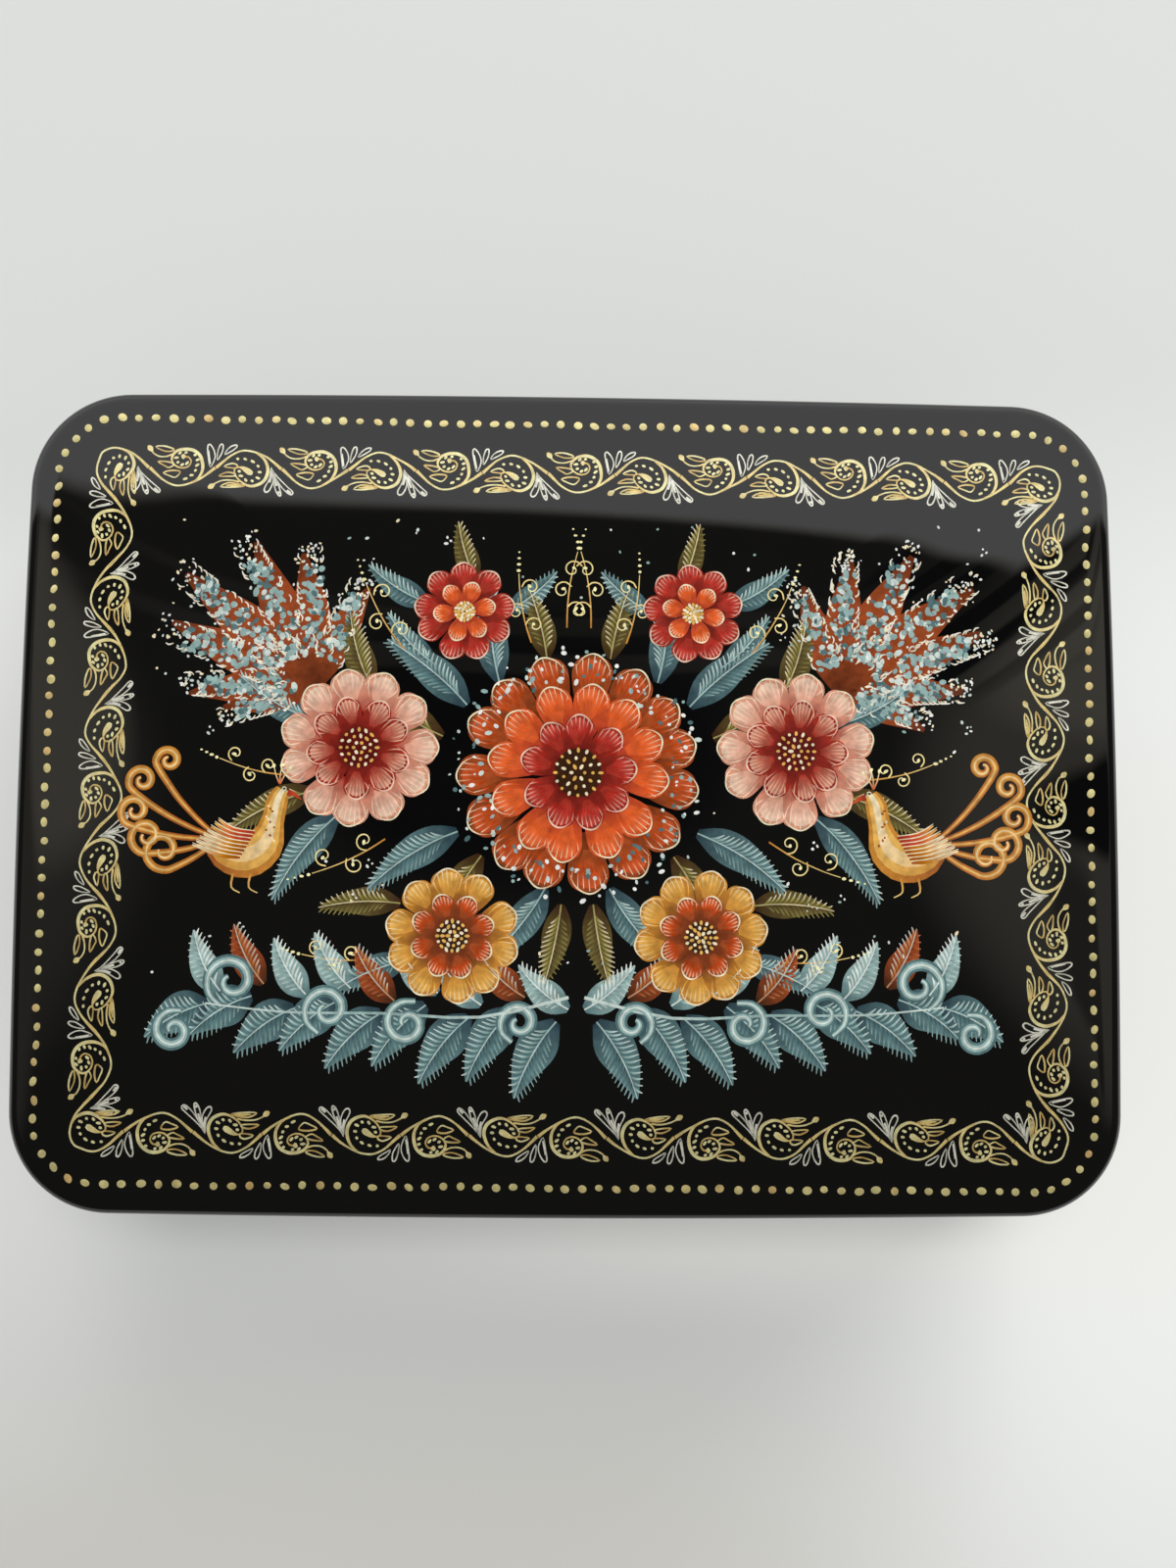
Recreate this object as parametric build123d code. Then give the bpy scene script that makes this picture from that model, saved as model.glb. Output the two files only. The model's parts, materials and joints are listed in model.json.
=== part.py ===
from build123d import *
import math
import os

# A hinged lacquer box of papier-mache. The walls are wound rings, the bottom and the crowned lid
# panel are pressed boards, and a thin liner inside the body stands up as a lip that the lid
# closes over. A long brass hinge is let into the back, and hidden pins hold its leaves. Behind the
# hinge's axis both rims are bevelled, and the bevels meet where the lid stops.
# The origin is at the middle of the base. X runs along the box, the hinge is at +Y, Z is up.
# All lengths are in millimetres.

# The outline seen from above: gently bowed sides with rounded corners
box_length = 140.0
box_depth = 105.0
side_bow = 0.65
corner_radius = 12.8

# The body's wound wall
seam_height = 29.0
wall_thickness = 4.0
base_round = 0.9
rim_ease = 0.3
rebate_width = 1.8

# The bottom board, glued up into the wall's rebate
bottom_thickness = 3.0
glue_gap = 0.08

# The liner, glued inside the body's wall and standing above the seam
liner_thickness = 1.2
lip_height = 3.0
lip_lead = 0.5
lip_clearance = 0.3

# The lid: a wound wall under a pressed panel, whose edge is rounded over until it meets the crown
seam_gap = 0.15
lid_wall_height = 8.0
panel_edge_height = 5.5
panel_crown = 2.7
panel_thickness = 3.6
panel_round = 1.8
shoulder_slope = 5.0
crown_guide_shares = (-0.7, -0.35, 0, 0.35, 0.7)

# The hinge. Its leaves are bent to an L, and stand in a slot in each wall
hinge_length = 70.0
knuckle_count = 5
knuckle_gap = 0.2
pin_radius = 0.6
pin_clearance = 0.05
pin_head_radius = 0.95
pin_head_height = 0.4
leaf_thickness = 0.5
leaf_reach = 6.0
axis_inset = 0.5
slot_inset = 2.5
groove_clearance = 0.2
slot_clearance = 0.05

# How far the lid opens, in degrees, before the bevels at the back meet
opening_angle = 100.0
bevel_clearance = 0.1

# The pins that hold each leaf in its wall
leaf_pin_count = 3
leaf_pin_radius = 0.5
leaf_pin_bite = 1.1
leaf_pin_clearance = 0.03

# How far a cutting shape runs past what it cuts
overrun = 1.0

# Places that follow from the sizes above
lid_wall_thickness = wall_thickness - lip_clearance
liner_inset = wall_thickness + glue_gap
lid_base = seam_height + seam_gap
panel_base = lid_base + lid_wall_height
shoulder_z = panel_base + panel_edge_height
shoulder_inset = panel_round * (1 - math.sin(math.radians(shoulder_slope)))
shoulder_drop = panel_round * (1 - math.cos(math.radians(shoulder_slope)))
knuckle_radius = pin_radius + pin_clearance + leaf_thickness
knuckle_pitch = hinge_length / knuckle_count
hinge_y = box_depth / 2 - axis_inset
hinge_z = seam_height + seam_gap / 2
slot_y = box_depth / 2 - slot_inset


def outline(inset):
    """The box's outline seen from above, drawn in by inset all round."""
    side_x, side_y = box_length / 2, box_depth / 2
    corner_x, corner_y = side_x - side_bow, side_y - side_bow
    sides = [
        ThreePointArc((corner_x, -corner_y), (side_x, 0), (corner_x, corner_y)),
        ThreePointArc((corner_x, corner_y), (0, side_y), (-corner_x, corner_y)),
        ThreePointArc((-corner_x, corner_y), (-side_x, 0), (-corner_x, -corner_y)),
        ThreePointArc((-corner_x, -corner_y), (0, -side_y), (corner_x, -corner_y)),
    ]
    sketch = make_face(Curve() + sides)
    sketch = fillet(sketch.vertices(), corner_radius)
    return offset(sketch, amount=-inset) if inset else sketch


def slab(inset, low, high):
    """A solid with the box's outline, drawn in by inset, between two heights."""
    return extrude(Pos(0, 0, low) * outline(inset), amount=high - low)


def ends(solid, which):
    """The edges round the lowest (0) or highest (-1) end of an upright solid."""
    return solid.edges().group_by(Axis.Z)[which]


def block(x, y, z):
    """A box given by its low and high limits along X, Y and Z."""
    size = (x[1] - x[0], y[1] - y[0], z[1] - z[0])
    return Pos(x[0], y[0], z[0]) * Box(*size, align=(Align.MIN, Align.MIN, Align.MIN))


def rod_along_x(radius, low, high):
    """A rod on the hinge's axis, between two places along it."""
    turned = Rot(0, 90, 0) * Cylinder(radius, high - low)
    return Pos((low + high) / 2, hinge_y, hinge_z) * turned


def knuckle_span(index):
    """Where one knuckle of the hinge begins and ends along X."""
    start = -hinge_length / 2 + index * knuckle_pitch
    return start + knuckle_gap / 2, start + knuckle_pitch - knuckle_gap / 2


def leaf_pin_places():
    """Where the leaf pins stand along X, evenly spread over the hinge."""
    spacing = hinge_length / leaf_pin_count
    return [(index + 1 / 2) * spacing - hinge_length / 2 for index in range(leaf_pin_count)]


def leaf_pin(x, z, radius, inner_y, bite):
    """One pin through a wall: from the wall's inner face, through the leaf, and on by bite."""
    outer_y = slot_y + leaf_thickness / 2 + bite
    turned = Rot(90, 0, 0) * Cylinder(radius, outer_y - inner_y)
    return Pos(x, (inner_y + outer_y) / 2, z) * turned


def leaf_pin_height(direction):
    """The height of a leaf's row of pins: the middle of the part of it that is in the slot."""
    face = seam_height if direction < 0 else lid_base
    return face + direction * (leaf_thickness + leaf_reach) / 2


def hinge_room(direction):
    """What a wall loses for the hinge: the barrel's groove, the leaf's rebate and its slot."""
    face = seam_height if direction < 0 else lid_base
    half = hinge_length / 2 + pin_head_height + groove_clearance
    groove = rod_along_x(knuckle_radius + groove_clearance, -half, half)
    leaf_half = hinge_length / 2 + slot_clearance
    slot_half = leaf_thickness / 2 + slot_clearance
    x = (-leaf_half, leaf_half)
    past_seam = face - direction * overrun
    web_end = face + direction * (leaf_thickness + slot_clearance)
    slot_end = face + direction * (leaf_reach + slot_clearance)
    rebate = block(x, (slot_y - slot_half, hinge_y), sorted((past_seam, web_end)))
    slot = block(x, (slot_y - slot_half, slot_y + slot_half), sorted((past_seam, slot_end)))
    return groove + rebate + slot


def stop_bevel(direction):
    """What a rim loses behind the hinge's axis, so that the lid can open to its full angle."""
    half_angle = math.radians(opening_angle / 2)
    drop = bevel_clearance / math.cos(half_angle)
    start_y = hinge_y - drop / math.tan(half_angle)
    end_y = box_depth / 2 + overrun
    end_z = hinge_z + direction * math.tan(half_angle) * (end_y - start_y)
    profile = make_face(Polyline((start_y, hinge_z), (end_y, hinge_z), (end_y, end_z), close=True))
    return extrude(Plane.YZ * profile, amount=box_length / 2, both=True)


def pin_holes(direction, inner_y):
    """The blind holes for one leaf's pins, bored from the wall's inner face."""
    radius = leaf_pin_radius + leaf_pin_clearance
    bite = leaf_pin_bite + leaf_pin_clearance
    z = leaf_pin_height(direction)
    return [leaf_pin(x, z, radius, inner_y - overrun, bite) for x in leaf_pin_places()]


def body_wall():
    """The wound wall of the body, with its rebate below and the hinge's room at the back."""
    solid = slab(0, 0, seam_height)
    solid = fillet(ends(solid, 0), base_round)
    solid = chamfer(ends(solid, -1), rim_ease)
    solid -= slab(wall_thickness, -overrun, seam_height + overrun)
    solid -= slab(wall_thickness - rebate_width, -overrun, bottom_thickness)
    solid -= stop_bevel(-1)
    solid -= hinge_room(-1)
    for hole in pin_holes(-1, box_depth / 2 - wall_thickness):
        solid -= hole
    return solid


def bottom_panel():
    """The pressed board that closes the body from below."""
    return slab(wall_thickness - rebate_width + glue_gap, 0, bottom_thickness)


def body_liner():
    """The thin wound liner. It stands on the bottom board, and its top edge is the lid's lip."""
    top = seam_height + lip_height
    solid = slab(liner_inset, bottom_thickness, top)
    solid = chamfer(ends(solid, -1), lip_lead)
    return solid - slab(liner_inset + liner_thickness, 0, top + overrun)


def lid_wall():
    """The wound wall of the lid, thinner than the body's so that it clears the lip."""
    solid = slab(0, lid_base, panel_base)
    solid = chamfer(ends(solid, 0), rim_ease)
    solid -= slab(lid_wall_thickness, lid_base - overrun, panel_base + overrun)
    solid -= stop_bevel(1)
    solid -= hinge_room(1)
    for hole in pin_holes(1, box_depth / 2 - lid_wall_thickness):
        solid -= hole
    return solid


def crown_height(u, v, corner_u, corner_v):
    """The crown's height as a share: 1 at the middle, and 0 at the sides and at the round corners."""
    flatness = (corner_u**2 + corner_v**2 - 1) / (corner_u * corner_v) ** 2
    height = (1 - flatness * u**2) * (1 - flatness * v**2)
    return (height - (1 - flatness)) / flatness


def crowned(solid, inset, rise):
    """The solid with a crown of the given rise on its flat top, which is drawn in by inset."""
    top = solid.faces().sort_by(Axis.Z)[-1]
    level = top.center().Z
    half_x, half_y = box_length / 2 - inset, box_depth / 2 - inset
    corner_drop = side_bow + (corner_radius - inset) * (1 - math.sqrt(1 / 2))
    corner_u, corner_v = 1 - corner_drop / half_x, 1 - corner_drop / half_y
    guides = [
        (half_x * u, half_y * v, level + rise * crown_height(u, v, corner_u, corner_v))
        for u in crown_guide_shares
        for v in crown_guide_shares
    ]
    crown = Face.make_surface(top.edges(), surface_points=guides)
    return solid + Solid(Shell([crown, top]))


def lid_panel():
    """The pressed lid panel: crowned on top, rounded over at its edge and hollowed below."""
    solid = slab(0, panel_base, shoulder_z + shoulder_drop)
    solid = fillet(ends(solid, -1), panel_round)
    solid = split(solid, Plane((0, 0, shoulder_z)), keep=Keep.BOTTOM)
    solid = crowned(solid, shoulder_inset, panel_crown)
    hollow = slab(lid_wall_thickness, panel_base - overrun, shoulder_z - panel_thickness)
    return solid - crowned(hollow, lid_wall_thickness, panel_crown)


def hinge_leaf(direction, parity):
    """One L-shaped leaf with every second knuckle: direction is -1 for the body and 1 for the lid."""
    face = seam_height if direction < 0 else lid_base
    half = hinge_length / 2
    web_end = face + direction * leaf_thickness
    leaf_end = face + direction * leaf_reach
    inner_y, outer_y = slot_y - leaf_thickness / 2, slot_y + leaf_thickness / 2
    leaf = block((-half, half), (inner_y, hinge_y), sorted((face, web_end)))
    leaf += block((-half, half), (inner_y, outer_y), sorted((face, leaf_end)))
    room_y = hinge_y - knuckle_radius - knuckle_gap
    room_z = (hinge_z - knuckle_radius - overrun, hinge_z + knuckle_radius + overrun)
    for index in range(knuckle_count):
        low, high = knuckle_span(index)
        if index % 2 == parity:
            leaf += rod_along_x(knuckle_radius, low, high)
        else:
            room_x = (low - knuckle_gap, high + knuckle_gap)
            leaf -= block(room_x, (room_y, hinge_y + overrun), room_z)
    leaf -= rod_along_x(pin_radius + pin_clearance, -half - overrun, half + overrun)
    z = leaf_pin_height(direction)
    for x in leaf_pin_places():
        radius = leaf_pin_radius + leaf_pin_clearance
        leaf -= leaf_pin(x, z, radius, inner_y - overrun, overrun)
    return leaf


def leaf_pins(direction, inner_y):
    """The row of pins that holds one leaf in its wall."""
    z = leaf_pin_height(direction)
    pins = [leaf_pin(x, z, leaf_pin_radius, inner_y, leaf_pin_bite) for x in leaf_pin_places()]
    return Compound(children=pins)


def hinge_pin():
    """The hinge's pin, with a low head at each end that keeps it in the knuckles."""
    half = hinge_length / 2
    pin = rod_along_x(pin_radius, -half, half)
    for low, high in ((-half - pin_head_height, -half), (half, half + pin_head_height)):
        pin += rod_along_x(pin_head_radius, low, high)
    outer_edges = pin.edges().group_by(Axis.X)
    return chamfer(outer_edges[0] + outer_edges[-1], pin_head_height / 2)


def main():
    """Builds every piece and writes one STEP file for each."""
    pieces = {
        "body_wall": body_wall(),
        "bottom_panel": bottom_panel(),
        "body_liner": body_liner(),
        "lid_wall": lid_wall(),
        "lid_panel": lid_panel(),
        "hinge_leaf_body": hinge_leaf(-1, 0),
        "hinge_leaf_lid": hinge_leaf(1, 1),
        "leaf_pins_body": leaf_pins(-1, box_depth / 2 - wall_thickness),
        "leaf_pins_lid": leaf_pins(1, box_depth / 2 - lid_wall_thickness),
        "hinge_pin": hinge_pin(),
    }
    os.makedirs("parts", exist_ok=True)
    for name, piece in pieces.items():
        export_step(piece, f"parts/{name}.step")


if __name__ == "__main__":
    main()
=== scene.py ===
"""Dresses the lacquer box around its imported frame.

Smooth lacquered skins cover the plain solids, the hinge is bright brass, and the lid carries a line
of dots, a scroll border and a bouquet, all laid on its crown in brush strokes under clear lacquer.
Sizes are in millimetres until a mesh or a node tree is made, and in metres from there on.
"""

import json
import logging
import math
import random
from dataclasses import dataclass, replace
from enum import Enum
from typing import Callable, Iterable, Sequence

import bmesh
import bpy
from bmesh.types import BMesh, BMVert
from bpy.types import Material, Mesh, Node, NodeSocket, NodeTree, Object
from mathutils import Matrix, Vector


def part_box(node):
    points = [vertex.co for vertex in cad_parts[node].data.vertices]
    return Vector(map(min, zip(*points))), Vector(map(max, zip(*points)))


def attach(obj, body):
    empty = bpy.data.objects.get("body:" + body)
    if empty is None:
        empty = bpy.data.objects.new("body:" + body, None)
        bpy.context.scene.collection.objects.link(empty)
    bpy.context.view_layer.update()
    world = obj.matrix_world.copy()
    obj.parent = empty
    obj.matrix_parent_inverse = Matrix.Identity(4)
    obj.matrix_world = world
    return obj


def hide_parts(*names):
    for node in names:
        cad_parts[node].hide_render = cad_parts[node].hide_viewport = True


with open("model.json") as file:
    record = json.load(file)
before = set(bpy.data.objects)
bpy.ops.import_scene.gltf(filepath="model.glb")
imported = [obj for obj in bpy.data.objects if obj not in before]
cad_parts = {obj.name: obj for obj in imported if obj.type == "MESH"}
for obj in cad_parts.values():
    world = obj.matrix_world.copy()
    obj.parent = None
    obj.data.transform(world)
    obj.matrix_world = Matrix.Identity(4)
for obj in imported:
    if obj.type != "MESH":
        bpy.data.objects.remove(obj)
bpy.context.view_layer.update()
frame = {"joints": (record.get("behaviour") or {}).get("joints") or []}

MM = 0.001
PIGMENT = "pigment"
HALF_WIDTH = "half_width"
LIFT = "lift"
log = logging.getLogger("lacquer_box")

Triple = tuple[float, float, float]
Colour = Triple
Span = tuple[float, float]
Place = tuple[float, float]
Profile = Sequence[Place]
Path = tuple[Place, ...]
Tints = tuple[Colour, ...]


class Body(Enum):
    """The two bodies that the hinge joins."""

    BOX = "box"
    LID = "lid"

    @property
    def way(self) -> int:
        """The way from the seam into this body: 1 is up and -1 is down."""
        return 1 if self is Body.LID else -1


class Slot(Enum):
    """The record's material slots."""

    BLACK = "black_lacquer"
    RED = "red_lacquer"
    BRASS = "brass"


class Loop(Enum):
    """The three kinds of loop in the scroll border, by where the stem passes it."""

    INNER = 0
    OUTER = 1
    CORNER = 2


def linear(red: int, green: int, blue: int) -> Colour:
    """Turns a display colour, with parts from 0 to 255, into linear light, as a shader takes it."""
    shares = (red / 255, green / 255, blue / 255)
    return tuple(s / 12.92 if s <= 0.04045 else ((s + 0.055) / 1.055) ** 2.4 for s in shares)


def blended(first: Colour, second: Colour, share: float) -> Colour:
    """Mixes two colours, with the given share of the second."""
    return tuple(a + (b - a) * share for a, b in zip(first, second))


def turned(place: Place, angle: float) -> Place:
    """Turns a place about the origin, by an angle in radians."""
    c, s = math.cos(angle), math.sin(angle)
    return place[0] * c - place[1] * s, place[0] * s + place[1] * c


def dash(middle: Place, reach: float, angle: float) -> Path:
    """A short straight path that goes as far as reach to both sides of its middle."""
    x, y = turned((reach, 0), angle)
    return (middle[0] - x, middle[1] - y), middle, (middle[0] + x, middle[1] + y)


class NodeSketch:
    """Adds and wires nodes in one tree."""

    def __init__(self, tree: NodeTree) -> None:
        """Takes the tree that the nodes go into."""
        self.tree = tree

    def add(self, kind: str, inputs: dict[str, object] | None = None, **settings: object) -> Node:
        """Adds one node and feeds its sockets.

        Args:
            kind: The node's type.
            inputs: Values or output sockets, by the input's identifier or name.
            settings: The node's own options.

        Returns:
            The new node.
        """
        node = self.tree.nodes.new(kind)
        for option, value in settings.items():
            setattr(node, option, value)
        for name, value in (inputs or {}).items():
            self.feed(node, name, value)
        return node

    def out(self, kind: str, inputs: dict[str, object] | None = None, **settings: object) -> NodeSocket:
        """Adds one node, as add does, and takes its first output."""
        return self.add(kind, inputs, **settings).outputs[0]

    def feed(self, node: Node, name: str, value: object) -> None:
        """Links or sets one input of a node.

        Args:
            node: The node to feed.
            name: The input's identifier or name.
            value: An output socket to link, or a plain value.
        """
        found = [s for s in node.inputs if s.identifier == name] or [s for s in node.inputs if s.name == name]
        if isinstance(value, NodeSocket):
            self.tree.links.new(value, found[0])
        else:
            found[0].default_value = value

    def maths(self, operation: str, *terms: object) -> NodeSocket:
        """Works out one number from numbers or output sockets."""
        names = ("Value", "Value_001", "Value_002")
        return self.out("ShaderNodeMath", dict(zip(names, terms)), operation=operation)

    def vectors(self, operation: str, *terms: object) -> NodeSocket:
        """Works out one vector from vectors or output sockets."""
        names = ("Vector", "Vector_001", "Vector_002")
        return self.out("ShaderNodeVectorMath", dict(zip(names, terms)), operation=operation)

    def vector(self, **parts: object) -> NodeSocket:
        """Puts a vector together from those of X, Y and Z that are given."""
        return self.out("ShaderNodeCombineXYZ", parts)

    def parts(self, vector: NodeSocket) -> tuple[NodeSocket, ...]:
        """Takes a vector apart into X, Y and Z."""
        return tuple(self.add("ShaderNodeSeparateXYZ", {"Vector": vector}).outputs)

    def place(self) -> NodeSocket:
        """A material's place, in its object's own coordinates."""
        return self.add("ShaderNodeTexCoord").outputs["Object"]

    def noise(self, scale: float, detail: float, place: NodeSocket | None = None) -> NodeSocket:
        """Reads a noise, at the object's own coordinates if no place is given."""
        found = self.place() if place is None else place
        return self.out("ShaderNodeTexNoise", {"Vector": found, "Scale": scale, "Detail": detail})

    def ramp(self, value: object, low: float, high: float, target: Span = (0.0, 1.0),
             kind: str = "SMOOTHSTEP") -> NodeSocket:
        """Carries a number's range from low to high over to the target's, by the given kind of curve."""
        inputs = {"Value": value, "From Min": low, "From Max": high, "To Min": target[0], "To Max": target[1]}
        return self.out("ShaderNodeMapRange", inputs, interpolation_type=kind)

    def mix(self, first: Colour | NodeSocket, second: Colour, share: object) -> NodeSocket:
        """Mixes two colours.

        Args:
            first: The first colour, plain or from a socket.
            second: The second colour.
            share: How much of the second there is.

        Returns:
            The mixed colour.
        """
        start = first if isinstance(first, NodeSocket) else (*first, 1)
        inputs = {"A_Color": start, "B_Color": (*second, 1), "Factor_Float": share}
        mixed = self.add("ShaderNodeMix", inputs, data_type="RGBA")
        return next(socket for socket in mixed.outputs if socket.identifier == "Result_Color")

    def moved(self, geometry: NodeSocket, **change: object) -> NodeSocket:
        """Sets the Position of a geometry's points, or moves them by an Offset."""
        return self.out("GeometryNodeSetPosition", {"Geometry": geometry, **change})

    def form(self, item: NodeSocket) -> NodeSocket:
        """The form of an object."""
        return self.add("GeometryNodeObjectInfo", {"Object": item}).outputs["Geometry"]

    def here(self) -> NodeSocket:
        """Each point's place."""
        return self.out("GeometryNodeInputPosition")

    def named(self, name: str) -> NodeSocket:
        """One of the numbers that a geometry's points carry."""
        return self.out("GeometryNodeInputNamedAttribute", {"Name": name}, data_type="FLOAT")


class Workshop:
    """Makes plain meshes out of points, trees and modifiers, and hands pieces to the frame."""

    SHARP_ANGLE = math.radians(35)
    WELD = 0.0005

    @staticmethod
    def place(name: str, mesh: Mesh) -> Object:
        """Puts a mesh into the scene as an object at the origin.

        Args:
            name: The object's name.
            mesh: Its mesh.

        Returns:
            The object.
        """
        obj = bpy.data.objects.new(name, mesh)
        bpy.context.scene.collection.objects.link(obj)
        return obj

    @staticmethod
    def edges(name: str, points: Iterable[Place], edges: Iterable[tuple[int, int]]) -> Object:
        """Makes an object of bare edges on the level plane.

        Args:
            name: The object's name.
            points: Places in millimetres.
            edges: Pairs of point numbers.

        Returns:
            The object.
        """
        mesh = bpy.data.meshes.new(name)
        mesh.from_pydata([(x * MM, y * MM, 0) for x, y in points], list(edges), [])
        return Workshop.place(name, mesh)

    @staticmethod
    def solid(name: str, form: BMesh, *finishes: Material) -> Object:
        """Turns a closed form in millimetres into an object with smooth faces and sharp corners.

        Args:
            name: The object's name.
            form: The form, which is freed.
            finishes: Its materials.

        Returns:
            The object.
        """
        bmesh.ops.remove_doubles(form, verts=form.verts, dist=Workshop.WELD)
        bmesh.ops.recalc_face_normals(form, faces=form.faces)
        bmesh.ops.scale(form, vec=(MM, MM, MM), verts=form.verts)
        Workshop.shade(form)
        mesh = bpy.data.meshes.new(name)
        form.to_mesh(mesh)
        form.free()
        for finish in finishes:
            mesh.materials.append(finish)
        return Workshop.place(name, mesh)

    @staticmethod
    def shade(form: BMesh) -> None:
        """Smooths every face of a form and keeps its corners sharp.

        Args:
            form: The form.
        """
        for face in form.faces:
            face.smooth = True
        for edge in form.edges:
            edge.smooth = len(edge.link_faces) == 2 and edge.calc_face_angle(0) < Workshop.SHARP_ANGLE

    @staticmethod
    def sharpen(obj: Object) -> None:
        """Smooths an object's faces again, with the flat ones kept even.

        Args:
            obj: The object.
        """
        form = bmesh.new()
        form.from_mesh(obj.data)
        Workshop.shade(form)
        form.to_mesh(obj.data)
        form.free()
        obj.modifiers.new("even_shading", "WEIGHTED_NORMAL").keep_sharp = True
        Workshop.settle(obj)

    @staticmethod
    def settle(obj: Object) -> None:
        """Turns an object's evaluated form into its own plain mesh.

        Args:
            obj: The object, whose modifiers are dropped.
        """
        graph = bpy.context.evaluated_depsgraph_get()
        mesh = bpy.data.meshes.new_from_object(obj.evaluated_get(graph))
        old = obj.data
        obj.modifiers.clear()
        obj.data = mesh
        mesh.name = obj.name
        bpy.data.meshes.remove(old)

    @staticmethod
    def grow(obj: Object, tree: NodeTree, values: dict[str, object]) -> None:
        """Runs a node tree on an object and keeps the result as its plain mesh.

        Args:
            obj: The object that carries the tree's starting form.
            tree: The node tree.
            values: The tree's named inputs.
        """
        modifier = obj.modifiers.new("growth", "NODES")
        modifier.node_group = tree
        sockets = {i.name: i.identifier for i in tree.interface.items_tree if i.in_out == "INPUT"}
        for name, value in values.items():
            modifier[sockets[name]] = value
        Workshop.settle(obj)

    @staticmethod
    def cut(obj: Object, tools: Iterable[Object]) -> None:
        """Cuts shapes out of an object and removes them.

        Args:
            obj: The closed object to cut.
            tools: Closed objects that are taken away from it.
        """
        tools = list(tools)
        for tool in tools:
            modifier = obj.modifiers.new(tool.name, "BOOLEAN")
            modifier.operation = "DIFFERENCE"
            modifier.solver = "EXACT"
            modifier.object = tool
        Workshop.settle(obj)
        Workshop.discard(tools)

    @staticmethod
    def discard(objects: Iterable[Object]) -> None:
        """Removes helper objects from the scene."""
        for obj in objects:
            bpy.data.objects.remove(obj)

    @staticmethod
    def hand_over(obj: Object, body: Body, slot: Slot | None = None, nodes: Iterable[str] = ()) -> None:
        """Gives a finished piece to its body.

        Args:
            obj: The piece.
            body: The body that it moves with.
            slot: The record's slot that it is finished in, if it has one. It is not used.
            nodes: The solids that it stands for.
        """
        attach(obj, body.value)
        if nodes:
            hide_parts(*nodes)
        log.info("%s: %d faces on %s", obj.name, len(obj.data.polygons), body.value)


@dataclass(frozen=True)
class Film:
    """The clear lacquer over everything: nearly a mirror, rubbed out by hand."""

    gloss_low: float = 0.012
    gloss_high: float = 0.035
    smudge_scale: float = 55.0
    smudge_range: Span = (0.35, 0.75)
    wave_scale: float = 38.0
    wave_height: float = 0.006 * MM

    def lay(self, sketch: NodeSketch, shader: Node, layer: str = "") -> None:
        """Gives a shader the film's gloss, dulled where hands have been, and its long low waves.

        Args:
            sketch: The material's sketch.
            shader: The Principled shader.
            layer: The start of the inputs' names: nothing for the base, or the coat's.
        """
        smudges = sketch.noise(self.smudge_scale, 4.0)
        gloss = sketch.ramp(smudges, *self.smudge_range, (self.gloss_low, self.gloss_high), "LINEAR")
        sketch.feed(shader, f"{layer}Roughness", gloss)
        waves = {"Height": sketch.noise(self.wave_scale, 1.0), "Distance": self.wave_height, "Strength": 1.0}
        sketch.feed(shader, f"{layer}Normal", sketch.out("ShaderNodeBump", waves))


def new_tree(name: str, **inputs: str) -> tuple[NodeTree, NodeSketch, dict[str, NodeSocket]]:
    """Starts a geometry tree with a starting form and some more named inputs.

    Args:
        name: The tree's name.
        inputs: The kind of each further input, by its name.

    Returns:
        The tree, its sketch and the sockets that its inputs come out of.
    """
    tree = bpy.data.node_groups.new(name, "GeometryNodeTree")
    tree.interface.new_socket("Geometry", in_out="INPUT", socket_type="NodeSocketGeometry")
    for title, kind in inputs.items():
        tree.interface.new_socket(title, in_out="INPUT", socket_type=f"NodeSocket{kind}")
    tree.interface.new_socket("Geometry", in_out="OUTPUT", socket_type="NodeSocketGeometry")
    sketch = NodeSketch(tree)
    start = sketch.add("NodeGroupInput")
    return tree, sketch, {socket.name: socket for socket in start.outputs if socket.name}


def close_tree(sketch: NodeSketch, geometry: NodeSocket, material: NodeSocket) -> None:
    """Ends a geometry tree with real faces in one material.

    Args:
        sketch: The tree's sketch.
        geometry: What it has made.
        material: The material's socket.
    """
    real = sketch.out("GeometryNodeRealizeInstances", {"Geometry": geometry})
    painted = sketch.out("GeometryNodeSetMaterial", {"Geometry": real, "Material": material})
    sketch.add("NodeGroupOutput", {"Geometry": painted})


def new_material(name: str) -> tuple[Material, NodeSketch, Node]:
    """Starts a material.

    Args:
        name: Its name.

    Returns:
        The material, its sketch and its Principled shader.
    """
    material = bpy.data.materials.new(name)
    material.use_nodes = True
    sketch = NodeSketch(material.node_tree)
    return material, sketch, next(n for n in material.node_tree.nodes if n.type == "BSDF_PRINCIPLED")


@dataclass(frozen=True)
class Lacquer:
    """Coloured lacquer on pressed board."""

    name: str
    colour: Colour
    deep_colour: Colour
    mottle_scale: float = 90.0
    ior: float = 1.5
    film: Film = Film()

    def material(self) -> Material:
        """Builds the finish.

        Returns:
            The material.
        """
        material, sketch, shader = new_material(self.name)
        tone = sketch.mix(self.deep_colour, self.colour, sketch.noise(self.mottle_scale, 5.0))
        sketch.feed(shader, "Base Color", tone)
        self.film.lay(sketch, shader)
        shader.inputs["IOR"].default_value = self.ior
        return material


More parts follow.
